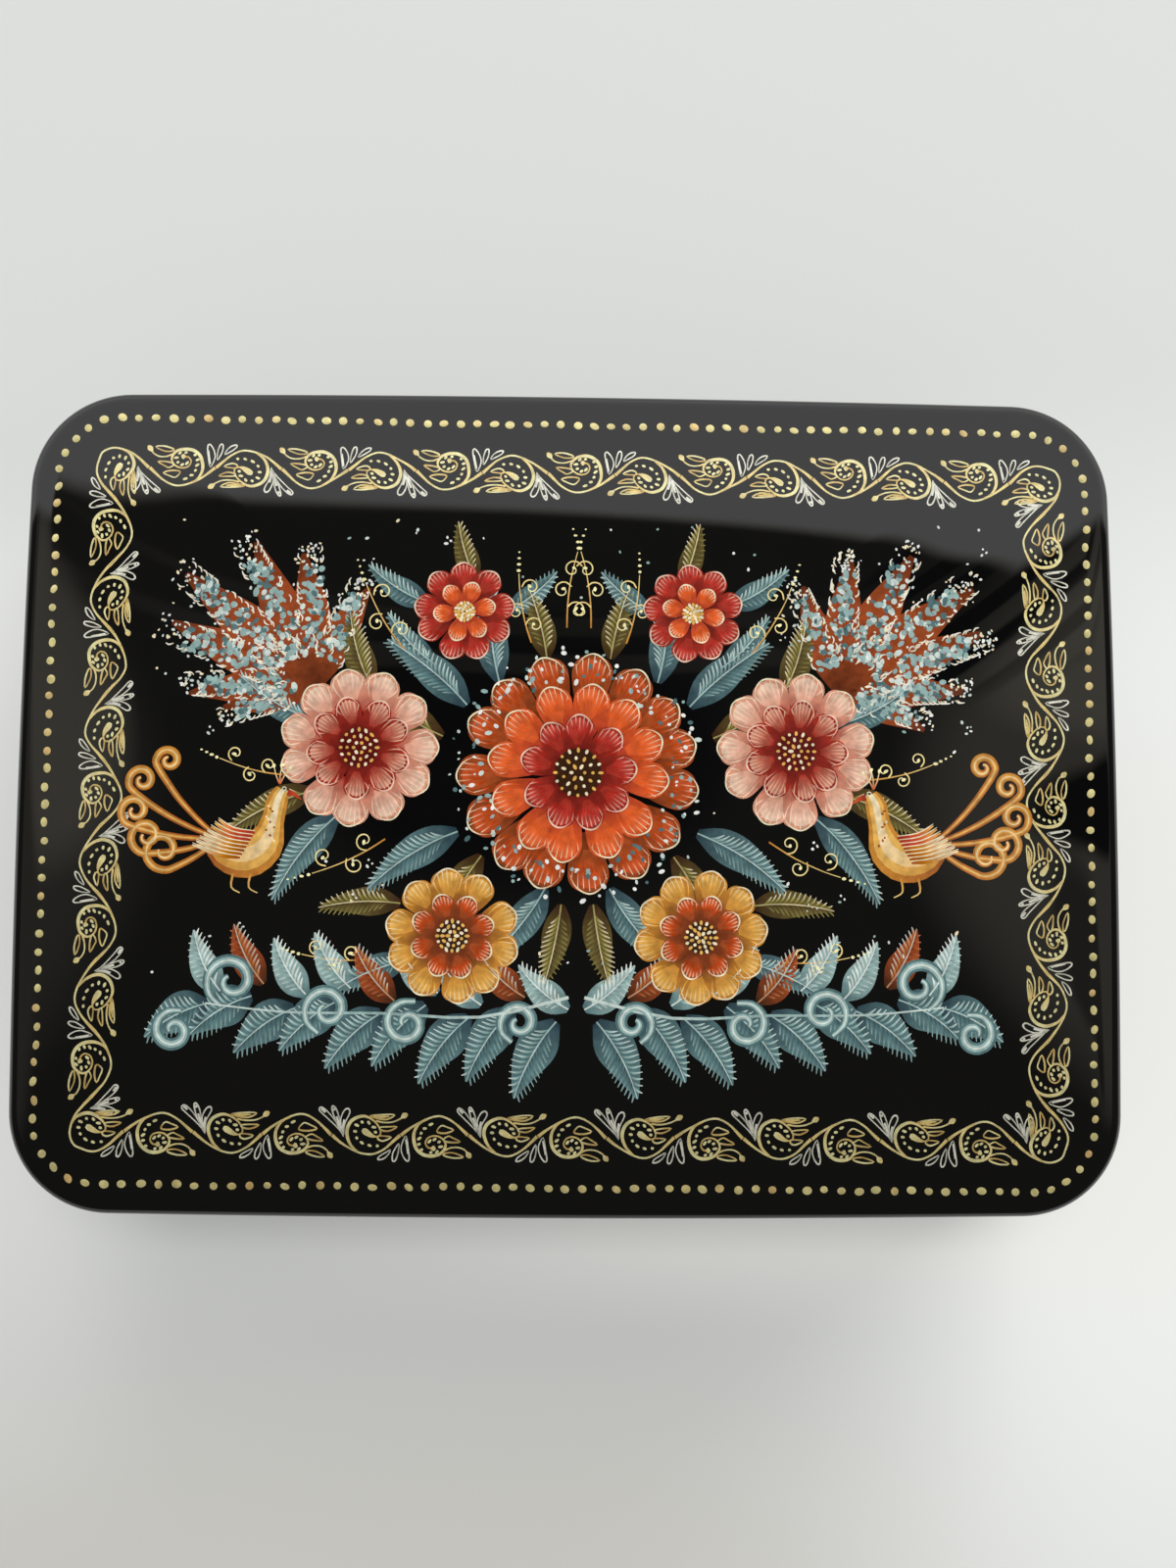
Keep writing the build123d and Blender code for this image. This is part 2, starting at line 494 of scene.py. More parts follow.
@dataclass(frozen=True)
class BrushPaint:
    """Paint that was laid with a brush and then lacquered over. Each stroke carries its pigment."""

    name: str
    metallic: float = 0.0
    roughness: float = 0.55
    metal_shine: float = 0.5
    streak_scale: float = 900.0
    streak_range: Span = (0.3, 0.7)
    streak_depth: float = 0.22
    film: Film = Film()

    def material(self) -> Material:
        """Builds the finish.

        Returns:
            The material.
        """
        material, sketch, shader = new_material(self.name)
        pigment = sketch.add("ShaderNodeAttribute", attribute_name=PIGMENT).outputs["Color"]
        levels = (1 - self.streak_depth, 1 + self.streak_depth)
        level = sketch.ramp(sketch.noise(self.streak_scale, 3.0), *self.streak_range, levels, "LINEAR")
        streaked = sketch.out("ShaderNodeVectorMath", {"Vector": pigment, "Scale": level}, operation="SCALE")
        sketch.feed(shader, "Base Color", streaked)
        shader.inputs["Metallic"].default_value = self.metallic
        shader.inputs["Roughness"].default_value = self.roughness
        shader.inputs["Specular IOR Level"].default_value = self.metal_shine if self.metallic else 0.0
        shader.inputs["Coat Weight"].default_value = 1.0
        self.film.lay(sketch, shader, "Coat ")
        return material


@dataclass(frozen=True)
class Brass:
    """Drawn brass, brushed along the hinge and a little dull where it is tarnished, at random."""

    name: str = "brass"
    bright: Colour = linear(222, 184, 112)
    dull: Colour = linear(158, 118, 60)
    tarnish_scale: float = 220.0
    brush_scale: Triple = (60.0, 2600.0, 2600.0)
    roughness: Span = (0.2, 0.42)
    brush_depth: float = 0.004 * MM

    def material(self) -> Material:
        """Builds the finish.

        Returns:
            The material.
        """
        material, sketch, shader = new_material(self.name)
        drawn = sketch.out("ShaderNodeMapping", {"Vector": sketch.place(), "Scale": self.brush_scale})
        brushed = sketch.noise(1.0, 4.0, drawn)
        tarnish = sketch.noise(self.tarnish_scale, 3.0)
        sketch.feed(shader, "Base Color", sketch.mix(self.dull, self.bright, tarnish))
        sketch.feed(shader, "Roughness", sketch.ramp(brushed, 0.0, 1.0, self.roughness, "LINEAR"))
        bump = {"Height": brushed, "Distance": self.brush_depth}
        sketch.feed(shader, "Normal", sketch.out("ShaderNodeBump", bump))
        shader.inputs["Metallic"].default_value = 1.0
        return material


@dataclass(frozen=True)
class Outline:
    """The box's outline seen from above: bowed sides that run into round corners."""

    length: float
    depth: float
    side_bow: float = 0.65
    corner_radius: float = 12.8
    long_side_steps: int = 48
    short_side_steps: int = 36
    corner_steps: int = 22

    def places(self) -> list[tuple[Vector, Vector]]:
        """Goes once round the outline, starting at the middle of the right side.

        Returns:
            Each place with the direction that points out of the outline there.
        """
        quarter = self._quarter()
        result = []
        for flip_x, flip_y in ((1, 1), (-1, 1), (-1, -1), (1, -1)):
            stretch = quarter if flip_x == flip_y else quarter[::-1]
            for place, way in stretch[:-1]:
                flip = (Vector((v.x * flip_x, v.y * flip_y)) for v in (place, way))
                result.append(tuple(flip))
        return result

    def _quarter(self) -> list[tuple[Vector, Vector]]:
        """Goes from the middle of the right side to the middle of the back.

        Returns:
            Each place with its outward direction, both middles included.
        """
        half_x, half_y = self.length / 2, self.depth / 2
        corner_x, corner_y = half_x - self.side_bow, half_y - self.side_bow
        bend_x = (self.side_bow**2 + corner_y**2) / (2 * self.side_bow)
        bend_y = (self.side_bow**2 + corner_x**2) / (2 * self.side_bow)
        side_centre = Vector((half_x - bend_x, 0))
        back_centre = Vector((0, half_y - bend_y))
        corner = self._corner_centre(side_centre, bend_x, back_centre, bend_y)
        start = math.atan2(corner.y, corner.x - side_centre.x)
        end = math.atan2(corner.y - back_centre.y, corner.x)
        arcs = (
            (side_centre, bend_x, 0, start, self.short_side_steps // 2),
            (corner, self.corner_radius, start, end, self.corner_steps),
            (back_centre, bend_y, end, math.pi / 2, self.long_side_steps // 2),
        )
        result = []
        for centre, radius, low, high, steps in arcs:
            for step in range(steps):
                angle = low + (high - low) * step / steps
                way = Vector((math.cos(angle), math.sin(angle)))
                result.append((centre + way * radius, way))
        result.append((Vector((0, half_y)), Vector((0, 1))))
        return result

    def _corner_centre(self, first: Vector, first_bend: float, second: Vector, second_bend: float) -> Vector:
        """Finds the centre of the corner's arc, which touches both sides' arcs from within.

        Args:
            first: The centre of the right side's arc.
            first_bend: That arc's radius.
            second: The centre of the back's arc.
            second_bend: That arc's radius.

        Returns:
            The centre of the arc between them.
        """
        first_reach, second_reach = first_bend - self.corner_radius, second_bend - self.corner_radius
        gap = (second - first).length
        way = (second - first) / gap
        along = (first_reach**2 - second_reach**2 + gap**2) / (2 * gap)
        across = math.sqrt(first_reach**2 - along**2)
        foot = first + way * along
        aside = Vector((-way.y, way.x)) * across
        return max((foot + aside, foot - aside), key=lambda place: min(place.x, place.y))


def eased(corners: Profile, radii: list[float], steps: int = 4) -> Profile:
    """Rounds the corners of a closed profile.

    Args:
        corners: The profile's corners, as pairs of inset and height.
        radii: The rounding at each corner, or zero for a sharp one.
        steps: How many steps each rounding takes.

    Returns:
        The profile's points.
    """
    result = []
    for index, (corner, radius) in enumerate(zip(corners, radii)):
        if not radius:
            result.append(corner)
            continue
        here = Vector(corner)
        before = (Vector(corners[index - 1]) - here).normalized()
        after = (Vector(corners[(index + 1) % len(corners)]) - here).normalized()
        half = before.angle(after) / 2
        centre = here + (before + after).normalized() * radius / math.sin(half)
        start = here + before * radius / math.tan(half) - centre
        end = here + after * radius / math.tan(half) - centre
        for step in range(steps + 1):
            spoke = start.slerp(end, step / steps).normalized() * radius
            result.append(tuple(centre + spoke))
    return result


@dataclass(frozen=True)
class Crown:
    """A shallow dome over the drawn-in outline."""

    outline: Outline
    inset: float
    rise: float
    base: float

    def height(self, rim: Vector, share: float) -> float:
        """The dome's height at a share of the way from its middle to a place on its level rim."""
        bulge = self._bulge(rim * share) - self._bulge(rim) * share**2
        return self.base + self.rise * bulge

    def _bulge(self, place: Vector) -> float:
        """Measures the plain dome, before its rim is held level.

        Args:
            place: A place inside the outline.

        Returns:
            The share of the rise there, which comes near zero at the outline.
        """
        half_x, half_y = self.outline.length / 2 - self.inset, self.outline.depth / 2 - self.inset
        drop = self.outline.side_bow + (self.outline.corner_radius - self.inset) * (1 - math.sqrt(1 / 2))
        u, v = 1 - drop / half_x, 1 - drop / half_y
        flatness = (u**2 + v**2 - 1) / (u * v) ** 2
        bulge = (1 - flatness * (place.x / half_x) ** 2) * (1 - flatness * (place.y / half_y) ** 2)
        return (bulge - (1 - flatness)) / flatness


def bridge(form: BMesh, lower: list[BMVert], upper: list[BMVert], finish: int = 0) -> None:
    """Closes the space between two rings of a form.

    Args:
        form: The form.
        lower: The first ring.
        upper: The ring after it.
        finish: Which of the object's finishes the faces take.
    """
    count = len(lower)
    for index in range(count):
        after = (index + 1) % count
        face = form.faces.new((lower[index], lower[after], upper[after], upper[index]))
        face.material_index = finish


class Winding:
    """Winds bands of faces round the outline, as the real walls are wound from pasted board."""

    def __init__(self, outline: Outline) -> None:
        """Starts an empty form that follows an outline."""
        self.places = outline.places()
        self.form = bmesh.new()

    def ring(self, inset: float, height: float) -> list[BMVert]:
        """Adds a ring of corners, drawn in by inset, at one height."""
        return [self.form.verts.new((*(place - way * inset), height)) for place, way in self.places]

    def band(self, lower: list[BMVert], upper: list[BMVert], finish: int = 0) -> None:
        """Closes the space between two rings."""
        bridge(self.form, lower, upper, finish)

    def cap(self, ring: list[BMVert], finish: int = 0) -> None:
        """Closes a flat ring with one face."""
        self.form.faces.new(ring).material_index = finish

    def dome(self, ring: list[BMVert], crown: Crown, steps: int, finish: int = 0) -> None:
        """Closes a ring with a crown.

        Args:
            ring: The ring at the crown's edge.
            crown: The crown's shape.
            steps: How many rings it takes to the middle.
            finish: The crown's finish.
        """
        rim = [place - way * crown.inset for place, way in self.places]
        for step in range(1, steps):
            share = 1 - step / steps
            spots = [(place * share, crown.height(place, share)) for place in rim]
            smaller = [self.form.verts.new((*spot, height)) for spot, height in spots]
            self.band(ring, smaller, finish)
            ring = smaller
        middle = self.form.verts.new((0, 0, crown.base + crown.rise))
        for index, vert in enumerate(ring):
            face = self.form.faces.new((vert, ring[(index + 1) % len(ring)], middle))
            face.material_index = finish

    def wall(self, profile: Profile, red_from: float = math.inf) -> BMesh:
        """Winds a closed profile all round.

        Args:
            profile: The wall's section, as pairs of inset and height.
            red_from: The inset from which faces take the second finish.

        Returns:
            The form.
        """
        rings = [self.ring(inset, height) for inset, height in profile]
        for index, (inset, _) in enumerate(profile):
            after = (index + 1) % len(profile)
            red = min(inset, profile[after][0]) >= red_from
            self.band(rings[index], rings[after], int(red))
        return self.form


@dataclass(frozen=True)
class BoxSizes:
    """Sizes that the frame gives, and the few that it doesn't show."""

    length: float
    depth: float
    seam: float
    lid_base: float
    panel_base: float
    top: float
    floor_top: float
    lip_top: float
    liner_inset: float
    lid_wall_thickness: float
    body_wall_thickness: float
    hinge_half: float
    axis_y: float
    axis_z: float
    barrel_radius: float
    leaf_inner_y: float
    leaf_reach: float

    @classmethod
    def from_frame(cls) -> "BoxSizes":
        """Reads the sizes off the frame's nodes and its joint.

        Returns:
            The sizes, in millimetres.
        """
        wall_low, wall_high = (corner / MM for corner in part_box("body_wall"))
        lid_low, lid_high = (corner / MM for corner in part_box("lid_wall"))
        liner_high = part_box("body_liner")[1] / MM
        leaf_low, leaf_high = (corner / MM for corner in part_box("hinge_leaf_lid"))
        axis = Vector(frame["joints"][0]["pos_m"]) / MM
        pins_start = {name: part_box(f"leaf_pins_{name}")[0].y / MM for name in ("body", "lid")}
        return cls(
            length=wall_high.x - wall_low.x,
            depth=wall_high.y - wall_low.y,
            seam=wall_high.z,
            lid_base=lid_low.z,
            panel_base=lid_high.z,
            top=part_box("lid_panel")[1].z / MM,
            floor_top=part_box("bottom_panel")[1].z / MM,
            lip_top=liner_high.z,
            liner_inset=wall_high.x - liner_high.x,
            lid_wall_thickness=wall_high.y - pins_start["lid"],
            body_wall_thickness=wall_high.y - pins_start["body"],
            hinge_half=leaf_high.x,
            axis_y=axis.y,
            axis_z=axis.z,
            barrel_radius=axis.z - leaf_low.z,
            leaf_inner_y=leaf_low.y,
            leaf_reach=leaf_high.z - lid_low.z,
        )

    def face(self, body: Body) -> float:
        """The height of a body's wall at the seam."""
        return self.seam if body is Body.BOX else self.lid_base

    def wall(self, body: Body) -> float:
        """How thick a body's wall is."""
        return self.body_wall_thickness if body is Body.BOX else self.lid_wall_thickness


@dataclass(frozen=True)
class HingeRoom:
    """What the walls lose at the back for the hinge and for the lid's swing."""

    sizes: BoxSizes
    clearance: float = 0.2
    slot_clearance: float = 0.05
    leaf_thickness: float = 0.5
    head_height: float = 0.4
    half_opening: float = 50.0
    bevel_start: float = 0.13
    overrun: float = 1.0
    groove_sides: int = 64

    def tools(self, body: Body) -> list[Object]:
        """Makes the shapes that are cut out of one wall.

        Args:
            body: The wall's body.

        Returns:
            The barrel's groove, the web's rebate, the plate's slot and the bevel behind the axis.
        """
        s = self.sizes
        face, direction = s.face(body), body.way
        half = s.hinge_half + self.slot_clearance
        inner = s.leaf_inner_y - self.slot_clearance
        plate = inner + self.leaf_thickness + 2 * self.slot_clearance
        past = face - direction * self.overrun
        web = face + direction * (self.leaf_thickness + self.slot_clearance)
        reach = face + direction * (s.leaf_reach + self.slot_clearance)
        groove = bmesh.new()
        radius = s.barrel_radius + self.clearance
        end = s.hinge_half + self.head_height + self.clearance
        lathe_along_x(groove, [(-end, radius), (end, radius)], (s.axis_y, s.axis_z), self.groove_sides)
        return [
            Workshop.solid("groove", groove),
            Workshop.solid("rebate", slab_form((-half, half), (inner, s.axis_y), (past, web))),
            Workshop.solid("slot", slab_form((-half, half), (inner, plate), (past, reach))),
            Workshop.solid("bevel", self._bevel(direction)),
        ]

    def _bevel(self, direction: int) -> BMesh:
        """Makes the wedge behind the axis that lets the lid open.

        Args:
            direction: The way from the seam into the wall.

        Returns:
            The wedge.
        """
        s = self.sizes
        start = s.axis_y - self.bevel_start
        end = s.depth / 2 + self.overrun
        drop = direction * math.tan(math.radians(self.half_opening)) * (end - start)
        corners = ((start, s.axis_z), (end, s.axis_z), (end, s.axis_z + drop))
        form = bmesh.new()
        rows = [[form.verts.new((x, y, z)) for y, z in corners] for x in (-s.length, s.length)]
        form.faces.new(rows[0])
        form.faces.new(rows[1][::-1])
        bridge(form, *rows)
        return form


def add_slab(form: BMesh, x: Span, y: Span, z: Span, bevel: float = 0.0) -> None:
    """Adds a block to a form.

    Args:
        form: The form that takes the faces.
        x: The block's two limits along X.
        y: Its limits along Y.
        z: Its limits along Z.
        bevel: How much its edges are broken.
    """
    verts = bmesh.ops.create_cube(form, size=1)["verts"]
    low, high = (Vector(pick) for pick in zip(*(sorted(pair) for pair in (x, y, z))))
    for vert in verts:
        vert.co = Vector([a + (b - a) * (c + 0.5) for a, b, c in zip(low, high, vert.co)])
    if bevel:
        edges = list(dict.fromkeys(edge for vert in verts for edge in vert.link_edges))
        bmesh.ops.bevel(form, geom=edges, offset=bevel, segments=1, affect="EDGES")


def slab_form(x: Span, y: Span, z: Span) -> BMesh:
    """Makes a plain block.

    Args:
        x: Its two limits along X.
        y: Its limits along Y.
        z: Its limits along Z.

    Returns:
        The block's form.
    """
    form = bmesh.new()
    add_slab(form, x, y, z)
    return form


def lathe_along_x(form: BMesh, profile: Profile, axis: Place, sides: int, bored: bool = False) -> None:
    """Turns a profile about an axis that runs along X.

    Args:
        form: The form that takes the faces.
        profile: Pairs of place along X and radius.
        axis: The axis's place along Y and its height.
        sides: How many sides the turned form has.
        bored: Whether the profile's ends meet in a bore. If not, each is capped.
    """
    angles = [2 * math.pi * side / sides for side in range(sides)]
    ways = [(math.cos(angle), math.sin(angle)) for angle in angles]
    rings = [[form.verts.new((x, axis[0] + r * c, axis[1] + r * s)) for c, s in ways] for x, r in profile]
    pairs = list(zip(rings, rings[1:]))
    if bored:
        pairs.append((rings[-1], rings[0]))
    else:
        form.faces.new(rings[0])
        form.faces.new(rings[-1])
    for lower, upper in pairs:
        bridge(form, lower, upper)


@dataclass
class BoxBody:
    """The lower half: a wound wall, a bottom board and the liner that stands up as the lip."""

    sizes: BoxSizes
    outline: Outline
    black: Material
    red: Material
    rebate: float = 1.8
    glue_gap: float = 0.08
    base_round: float = 0.9
    rim_round: float = 0.3
    inner_round: float = 0.1
    liner_thickness: float = 1.2
    lip_round: float = 0.5
    lip_inner_round: float = 0.35
    board_round: float = 0.2
    board_steps: int = 3

    def build(self) -> None:
        """Builds the three shells and gives them to the body."""
        self._wall()
        self._bottom()
        self._liner()

    def _wall(self) -> None:
        """The outer wall, with its rebate below and the hinge's room at the back."""
        s = self.sizes
        thick = s.body_wall_thickness
        step = thick - self.rebate
        corners = [(0, 0), (0, s.seam), (thick, s.seam), (thick, s.floor_top), (step, s.floor_top), (step, 0)]
        radii = [self.base_round, self.rim_round, self.inner_round, 0, 0, self.inner_round]
        form = Winding(self.outline).wall(eased(corners, radii))
        wall = Workshop.solid("body_wall_shell", form, self.black)
        Workshop.cut(wall, HingeRoom(s).tools(Body.BOX))
        Workshop.sharpen(wall)
        Workshop.hand_over(wall, Body.BOX, Slot.BLACK, ["body_wall"])

    def _bottom(self) -> None:
        """The bottom board: black below, red where the inside shows it."""
        inset = self.sizes.body_wall_thickness - self.rebate + self.glue_gap
        winding = Winding(self.outline)
        rings = []
        for step in range(self.board_steps + 1):
            angle = math.pi / 2 * step / self.board_steps
            share_in, share_up = 1 - math.sin(angle), 1 - math.cos(angle)
            rings.append(winding.ring(inset + self.board_round * share_in, self.board_round * share_up))
        rings.append(winding.ring(inset, self.sizes.floor_top))
        winding.cap(rings[0][::-1])
        for lower, upper in zip(rings, rings[1:]):
            winding.band(lower, upper)
        winding.cap(rings[-1], finish=1)
        board = Workshop.solid("bottom_board", winding.form, self.black, self.red)
        Workshop.hand_over(board, Body.BOX, Slot.BLACK, ["bottom_panel"])

    def _liner(self) -> None:
        """The red liner, rounded at the top where the lid closes over it."""
        s = self.sizes
        outer, inner = s.liner_inset, s.liner_inset + self.liner_thickness
        corners = [(outer, s.floor_top), (outer, s.lip_top), (inner, s.lip_top), (inner, s.floor_top)]
        profile = eased(corners, [0, self.lip_round, self.lip_inner_round, 0])
        liner = Workshop.solid("red_liner", Winding(self.outline).wall(profile), self.red)
        Workshop.hand_over(liner, Body.BOX, Slot.RED, ["body_liner"])


@dataclass
class Lid:
    """The lid: a wound wall under a crowned panel that is rounded over at its edge."""

    sizes: BoxSizes
    outline: Outline
    black: Material
    red: Material
    rim_round: float = 0.3
    inner_round: float = 0.1
    edge_round: float = 1.8
    shoulder_slope: float = 5.0
    crown: float = 2.7
    paint_room: float = 0.1
    thickness: float = 3.6
    edge_steps: int = 14
    crown_steps: int = 36
    ceiling_steps: int = 12

    def build(self) -> Object:
        """Builds both shells, gives them to the lid and returns the panel, for the paint."""
        self._wall()
        return self._panel()

    def _wall(self) -> None:
        """The lid's wall: black outside, red inside."""
        s = self.sizes
        inner = s.lid_wall_thickness
        corners = [(0, s.lid_base), (0, s.panel_base), (inner, s.panel_base), (inner, s.lid_base)]
        profile = eased(corners, [self.rim_round, 0, 0, self.inner_round])
        form = Winding(self.outline).wall(profile, red_from=inner)
        wall = Workshop.solid("lid_wall_shell", form, self.black, self.red)
        Workshop.cut(wall, HingeRoom(s).tools(Body.LID))
        Workshop.sharpen(wall)
        Workshop.hand_over(wall, Body.LID, Slot.BLACK, ["lid_wall"])

    def _panel(self) -> Object:
        """Builds the crowned panel: black above, and hollow and red below.

        Returns:
            The panel.
        """
        s = self.sizes
        slope = math.radians(self.shoulder_slope)
        inset = self.edge_round * (1 - math.sin(slope))
        shoulder = s.top - self.crown
        arc_base = shoulder - self.edge_round * math.cos(slope)
        winding = Winding(self.outline)
        inner = s.lid_wall_thickness
        ceiling = shoulder - self.thickness
        inner_edge = winding.ring(inner, s.panel_base)
        bottom = winding.ring(0, s.panel_base)
        winding.band(inner_edge, bottom)
        ring = bottom
        for step in range(self.edge_steps + 1):
            angle = (math.pi / 2 - slope) * step / self.edge_steps
            drawn_in = self.edge_round * (1 - math.cos(angle))
            upper = winding.ring(drawn_in, arc_base + self.edge_round * math.sin(angle))
            winding.band(ring, upper)
            ring = upper
        crown = Crown(self.outline, inset, self.crown - self.paint_room, shoulder)
        winding.dome(ring, crown, self.crown_steps)
        ceiling_edge = winding.ring(inner, ceiling)
        winding.band(ceiling_edge, inner_edge, 1)
        winding.dome(ceiling_edge, Crown(self.outline, inner, self.crown, ceiling), self.ceiling_steps, 1)
        panel = Workshop.solid("lid_panel_shell", winding.form, self.black, self.red)
        Workshop.hand_over(panel, Body.LID, Slot.BLACK, ["lid_panel"])
        return panel


def spaced_row() -> NodeTree:
    """Builds a node tree that adds a row of copies of one item along X to the form it starts from.

    Returns:
        The tree, with the inputs Item, Count, First, Step and Material.
    """
    kinds = {"Item": "Object", "Count": "Int", "First": "Float", "Step": "Float", "Material": "Material"}
    tree, sketch, inputs = new_tree("spaced row", **kinds)
    line = {"Count": inputs["Count"], "Start Location": sketch.vector(X=inputs["First"])}
    line["Offset"] = sketch.vector(X=inputs["Step"])
    copies = {"Points": sketch.out("GeometryNodeMeshLine", line), "Instance": sketch.form(inputs["Item"])}
    joined = sketch.add("GeometryNodeJoinGeometry")
    sketch.feed(joined, "Geometry", sketch.out("GeometryNodeInstanceOnPoints", copies))
    sketch.feed(joined, "Geometry", inputs["Geometry"])
    close_tree(sketch, joined.outputs[0], inputs["Material"])
    return tree


@dataclass
class Hinge:
    """The long brass hinge: two leaves let into slots, their knuckles, the pin and the leaf pins."""

    sizes: BoxSizes
    brass: Material
    body_knuckles: int = 3
    pitch: float = 14.0
    knuckle_gap: float = 0.2
    thickness: float = 0.5
    bore: float = 0.65
    pin_radius: float = 0.6
    head_radius: float = 0.95
    head_height: float = 0.4
    head_shape: Profile = ((1.0, 0.45), (0.85, 0.72), (0.5, 0.93), (0.2, 1.0), (0.0, 1.0))
    bevel: float = 0.07
    web_end: float = 0.8
    leaf_pin_count: int = 3
    leaf_pin_radius: float = 0.5
    leaf_pin_bite: float = 1.1
    leaf_pin_sides: int = 24
    proud: float = 0.05
    sides: int = 40

    def build(self) -> None:
        """Builds every part of the hinge and gives it to the body that it moves with."""
        self.row = spaced_row()
        self._leaf(Body.BOX, "hinge_leaf_body", self.body_knuckles)
        self._leaf(Body.LID, "hinge_leaf_lid", self.body_knuckles - 1)
        self._leaf_pins(Body.BOX, "leaf_pins_body")
        self._leaf_pins(Body.LID, "leaf_pins_lid")
        self._pin()

    def _grow_row(self, start: Object, item: Object, count: int, step: float) -> None:
        """Adds a row of copies of an item, with its middle at X 0, to a form.

        Args:
            start: The form.
            item: The item, which is removed.
            count: How many copies there are.
            step: How far they are apart.
        """
        first = -step * (count - 1) / 2
        values = {"Item": item, "Count": count, "First": first * MM, "Step": step * MM}
        Workshop.grow(start, self.row, {**values, "Material": self.brass})
        Workshop.discard([item])

    def _leaf(self, body: Body, node: str, knuckles: int) -> None:
        """One leaf: an L-shaped strip with its knuckles in a row.

        Args:
            body: The body that it moves with.
            node: The solid that it stands for.
            knuckles: How many knuckles it has.
        """
        s = self.sizes
        face, direction = s.face(body), body.way
        barrel_edge = s.axis_y - s.barrel_radius - self.knuckle_gap
        web = (face, face + direction * self.thickness)
        plate_y = (s.leaf_inner_y, s.leaf_inner_y + self.thickness)
        long_x = (-s.hinge_half, s.hinge_half)
        form = bmesh.new()
        add_slab(form, long_x, plate_y, (face, face + direction * s.leaf_reach), self.bevel)
        add_slab(form, long_x, (s.leaf_inner_y, barrel_edge), web, self.bevel)
        strip = Workshop.solid(f"{node}_brass", form)
        half = (self.pitch - self.knuckle_gap) / 2
        edge = s.barrel_radius - self.bevel
        tube = [(-half, self.bore), (-half, edge), (-half + self.bevel, s.barrel_radius)]
        tube += [(-x, radius) for x, radius in tube[::-1]]
        item = bmesh.new()
        lathe_along_x(item, tube, (s.axis_y, s.axis_z), self.sides, bored=True)
        tab_y = (barrel_edge - 2 * self.bevel, s.axis_y - self.web_end)
        add_slab(item, (-half, half), tab_y, web, self.bevel)
        self._grow_row(strip, Workshop.solid("knuckle", item), knuckles, 2 * self.pitch)
        Workshop.hand_over(strip, body, Slot.BRASS, [node])

    def _leaf_pins(self, body: Body, node: str) -> None:
        """The row of pins that holds one leaf in its wall.

        Args:
            body: The body that they move with.
            node: The solids that they stand for.
        """
        s = self.sizes
        z = s.face(body) + body.way * (self.thickness + s.leaf_reach) / 2
        start = s.depth / 2 - s.wall(body) - body.way * self.proud
        end = s.leaf_inner_y + self.thickness + self.leaf_pin_bite
        radius, bevel = self.leaf_pin_radius, self.bevel
        profile = [(start, radius - 2 * bevel), (start + bevel / 2, radius - bevel / 2)]
        profile += [(start + bevel, radius), (end - bevel, radius), (end, radius - bevel)]
        form = bmesh.new()
        lathe_along_x(form, profile, (0, 0), self.leaf_pin_sides)
        bmesh.ops.rotate(form, verts=form.verts, matrix=Matrix.Rotation(math.pi / 2, 3, "Z"))
        bmesh.ops.translate(form, verts=form.verts, vec=(0, 0, z))
        row = Workshop.edges(f"{node}_brass", [], [])
        step = 2 * s.hinge_half / self.leaf_pin_count
        self._grow_row(row, Workshop.solid("leaf_pin", form), self.leaf_pin_count, step)
        Workshop.hand_over(row, body, Slot.BRASS, [node])

    def _pin(self) -> None:
        """The hinge's pin with its two low heads."""
        s = self.sizes
        end = [(-s.hinge_half - self.head_height * x, self.head_radius * r) for x, r in self.head_shape]
        end.append((-s.hinge_half, self.pin_radius))
        form = bmesh.new()
        lathe_along_x(form, end + [(-x, size) for x, size in end[::-1]], (s.axis_y, s.axis_z), self.sides)
        pin = Workshop.solid("hinge_pin_brass", form, self.brass)
        Workshop.hand_over(pin, Body.BOX, Slot.BRASS, ["hinge_pin"])


@dataclass(frozen=True)
class Stroke:
    """One stroke of a brush."""

    points: Path
    half_widths: tuple[float, ...]
    colours: Tints
    lift: float = 0.0
    closed: bool = False

    def moved(self, change: Callable[[Place], Place]) -> "Stroke":
        """The same stroke with its points changed."""
        return replace(self, points=tuple(change(point) for point in self.points))


def spread(values: tuple[float, ...] | Tints, share: float) -> float | Colour:
    """Reads a value off a row that is spread evenly over a stroke.

    Args:
        values: Numbers or colours, at least one.
        share: How far along the stroke, from 0 to 1.

    Returns:
        The number or colour there.
    """
    place = share * (len(values) - 1)
    low = min(int(place), max(len(values) - 2, 0))
    high = min(low + 1, len(values) - 1)
    if isinstance(values[0], tuple):
        return blended(values[low], values[high], place - low)
    return values[low] + (values[high] - values[low]) * (place - low)


def stroke_edges(name: str, strokes: Iterable[Stroke]) -> Object:
    """Makes an object of bare edges that carry each stroke's width, pigment and lift.

    Args:
        name: The object's name.
        strokes: The strokes, in millimetres.

    Returns:
        The object.
    """
    points, edges, widths, pigments, lifts = [], [], [], [], []
    for stroke in strokes:
        first, count = len(points), len(stroke.points)
        for index, point in enumerate(stroke.points):
            share = index / (count - 1)
            points.append(point)
            widths.append(spread(stroke.half_widths, share) * MM)
            pigments.extend((*spread(stroke.colours, share), 1.0))
            lifts.append(stroke.lift * MM)
            if index:
                edges.append((first + index - 1, first + index))
        if stroke.closed:
            edges.append((first + count - 1, first))
    obj = Workshop.edges(name, points, edges)
    obj.data.attributes.new(HALF_WIDTH, "FLOAT", "POINT").data.foreach_set("value", widths)
    obj.data.attributes.new(LIFT, "FLOAT", "POINT").data.foreach_set("value", lifts)
    obj.data.attributes.new(PIGMENT, "FLOAT_COLOR", "POINT").data.foreach_set("color", pigments)
    return obj


BRUSH_INPUTS = {"Ground": "Object", "Sides": "Int", "Smoothness": "Int", "Material": "Material"}


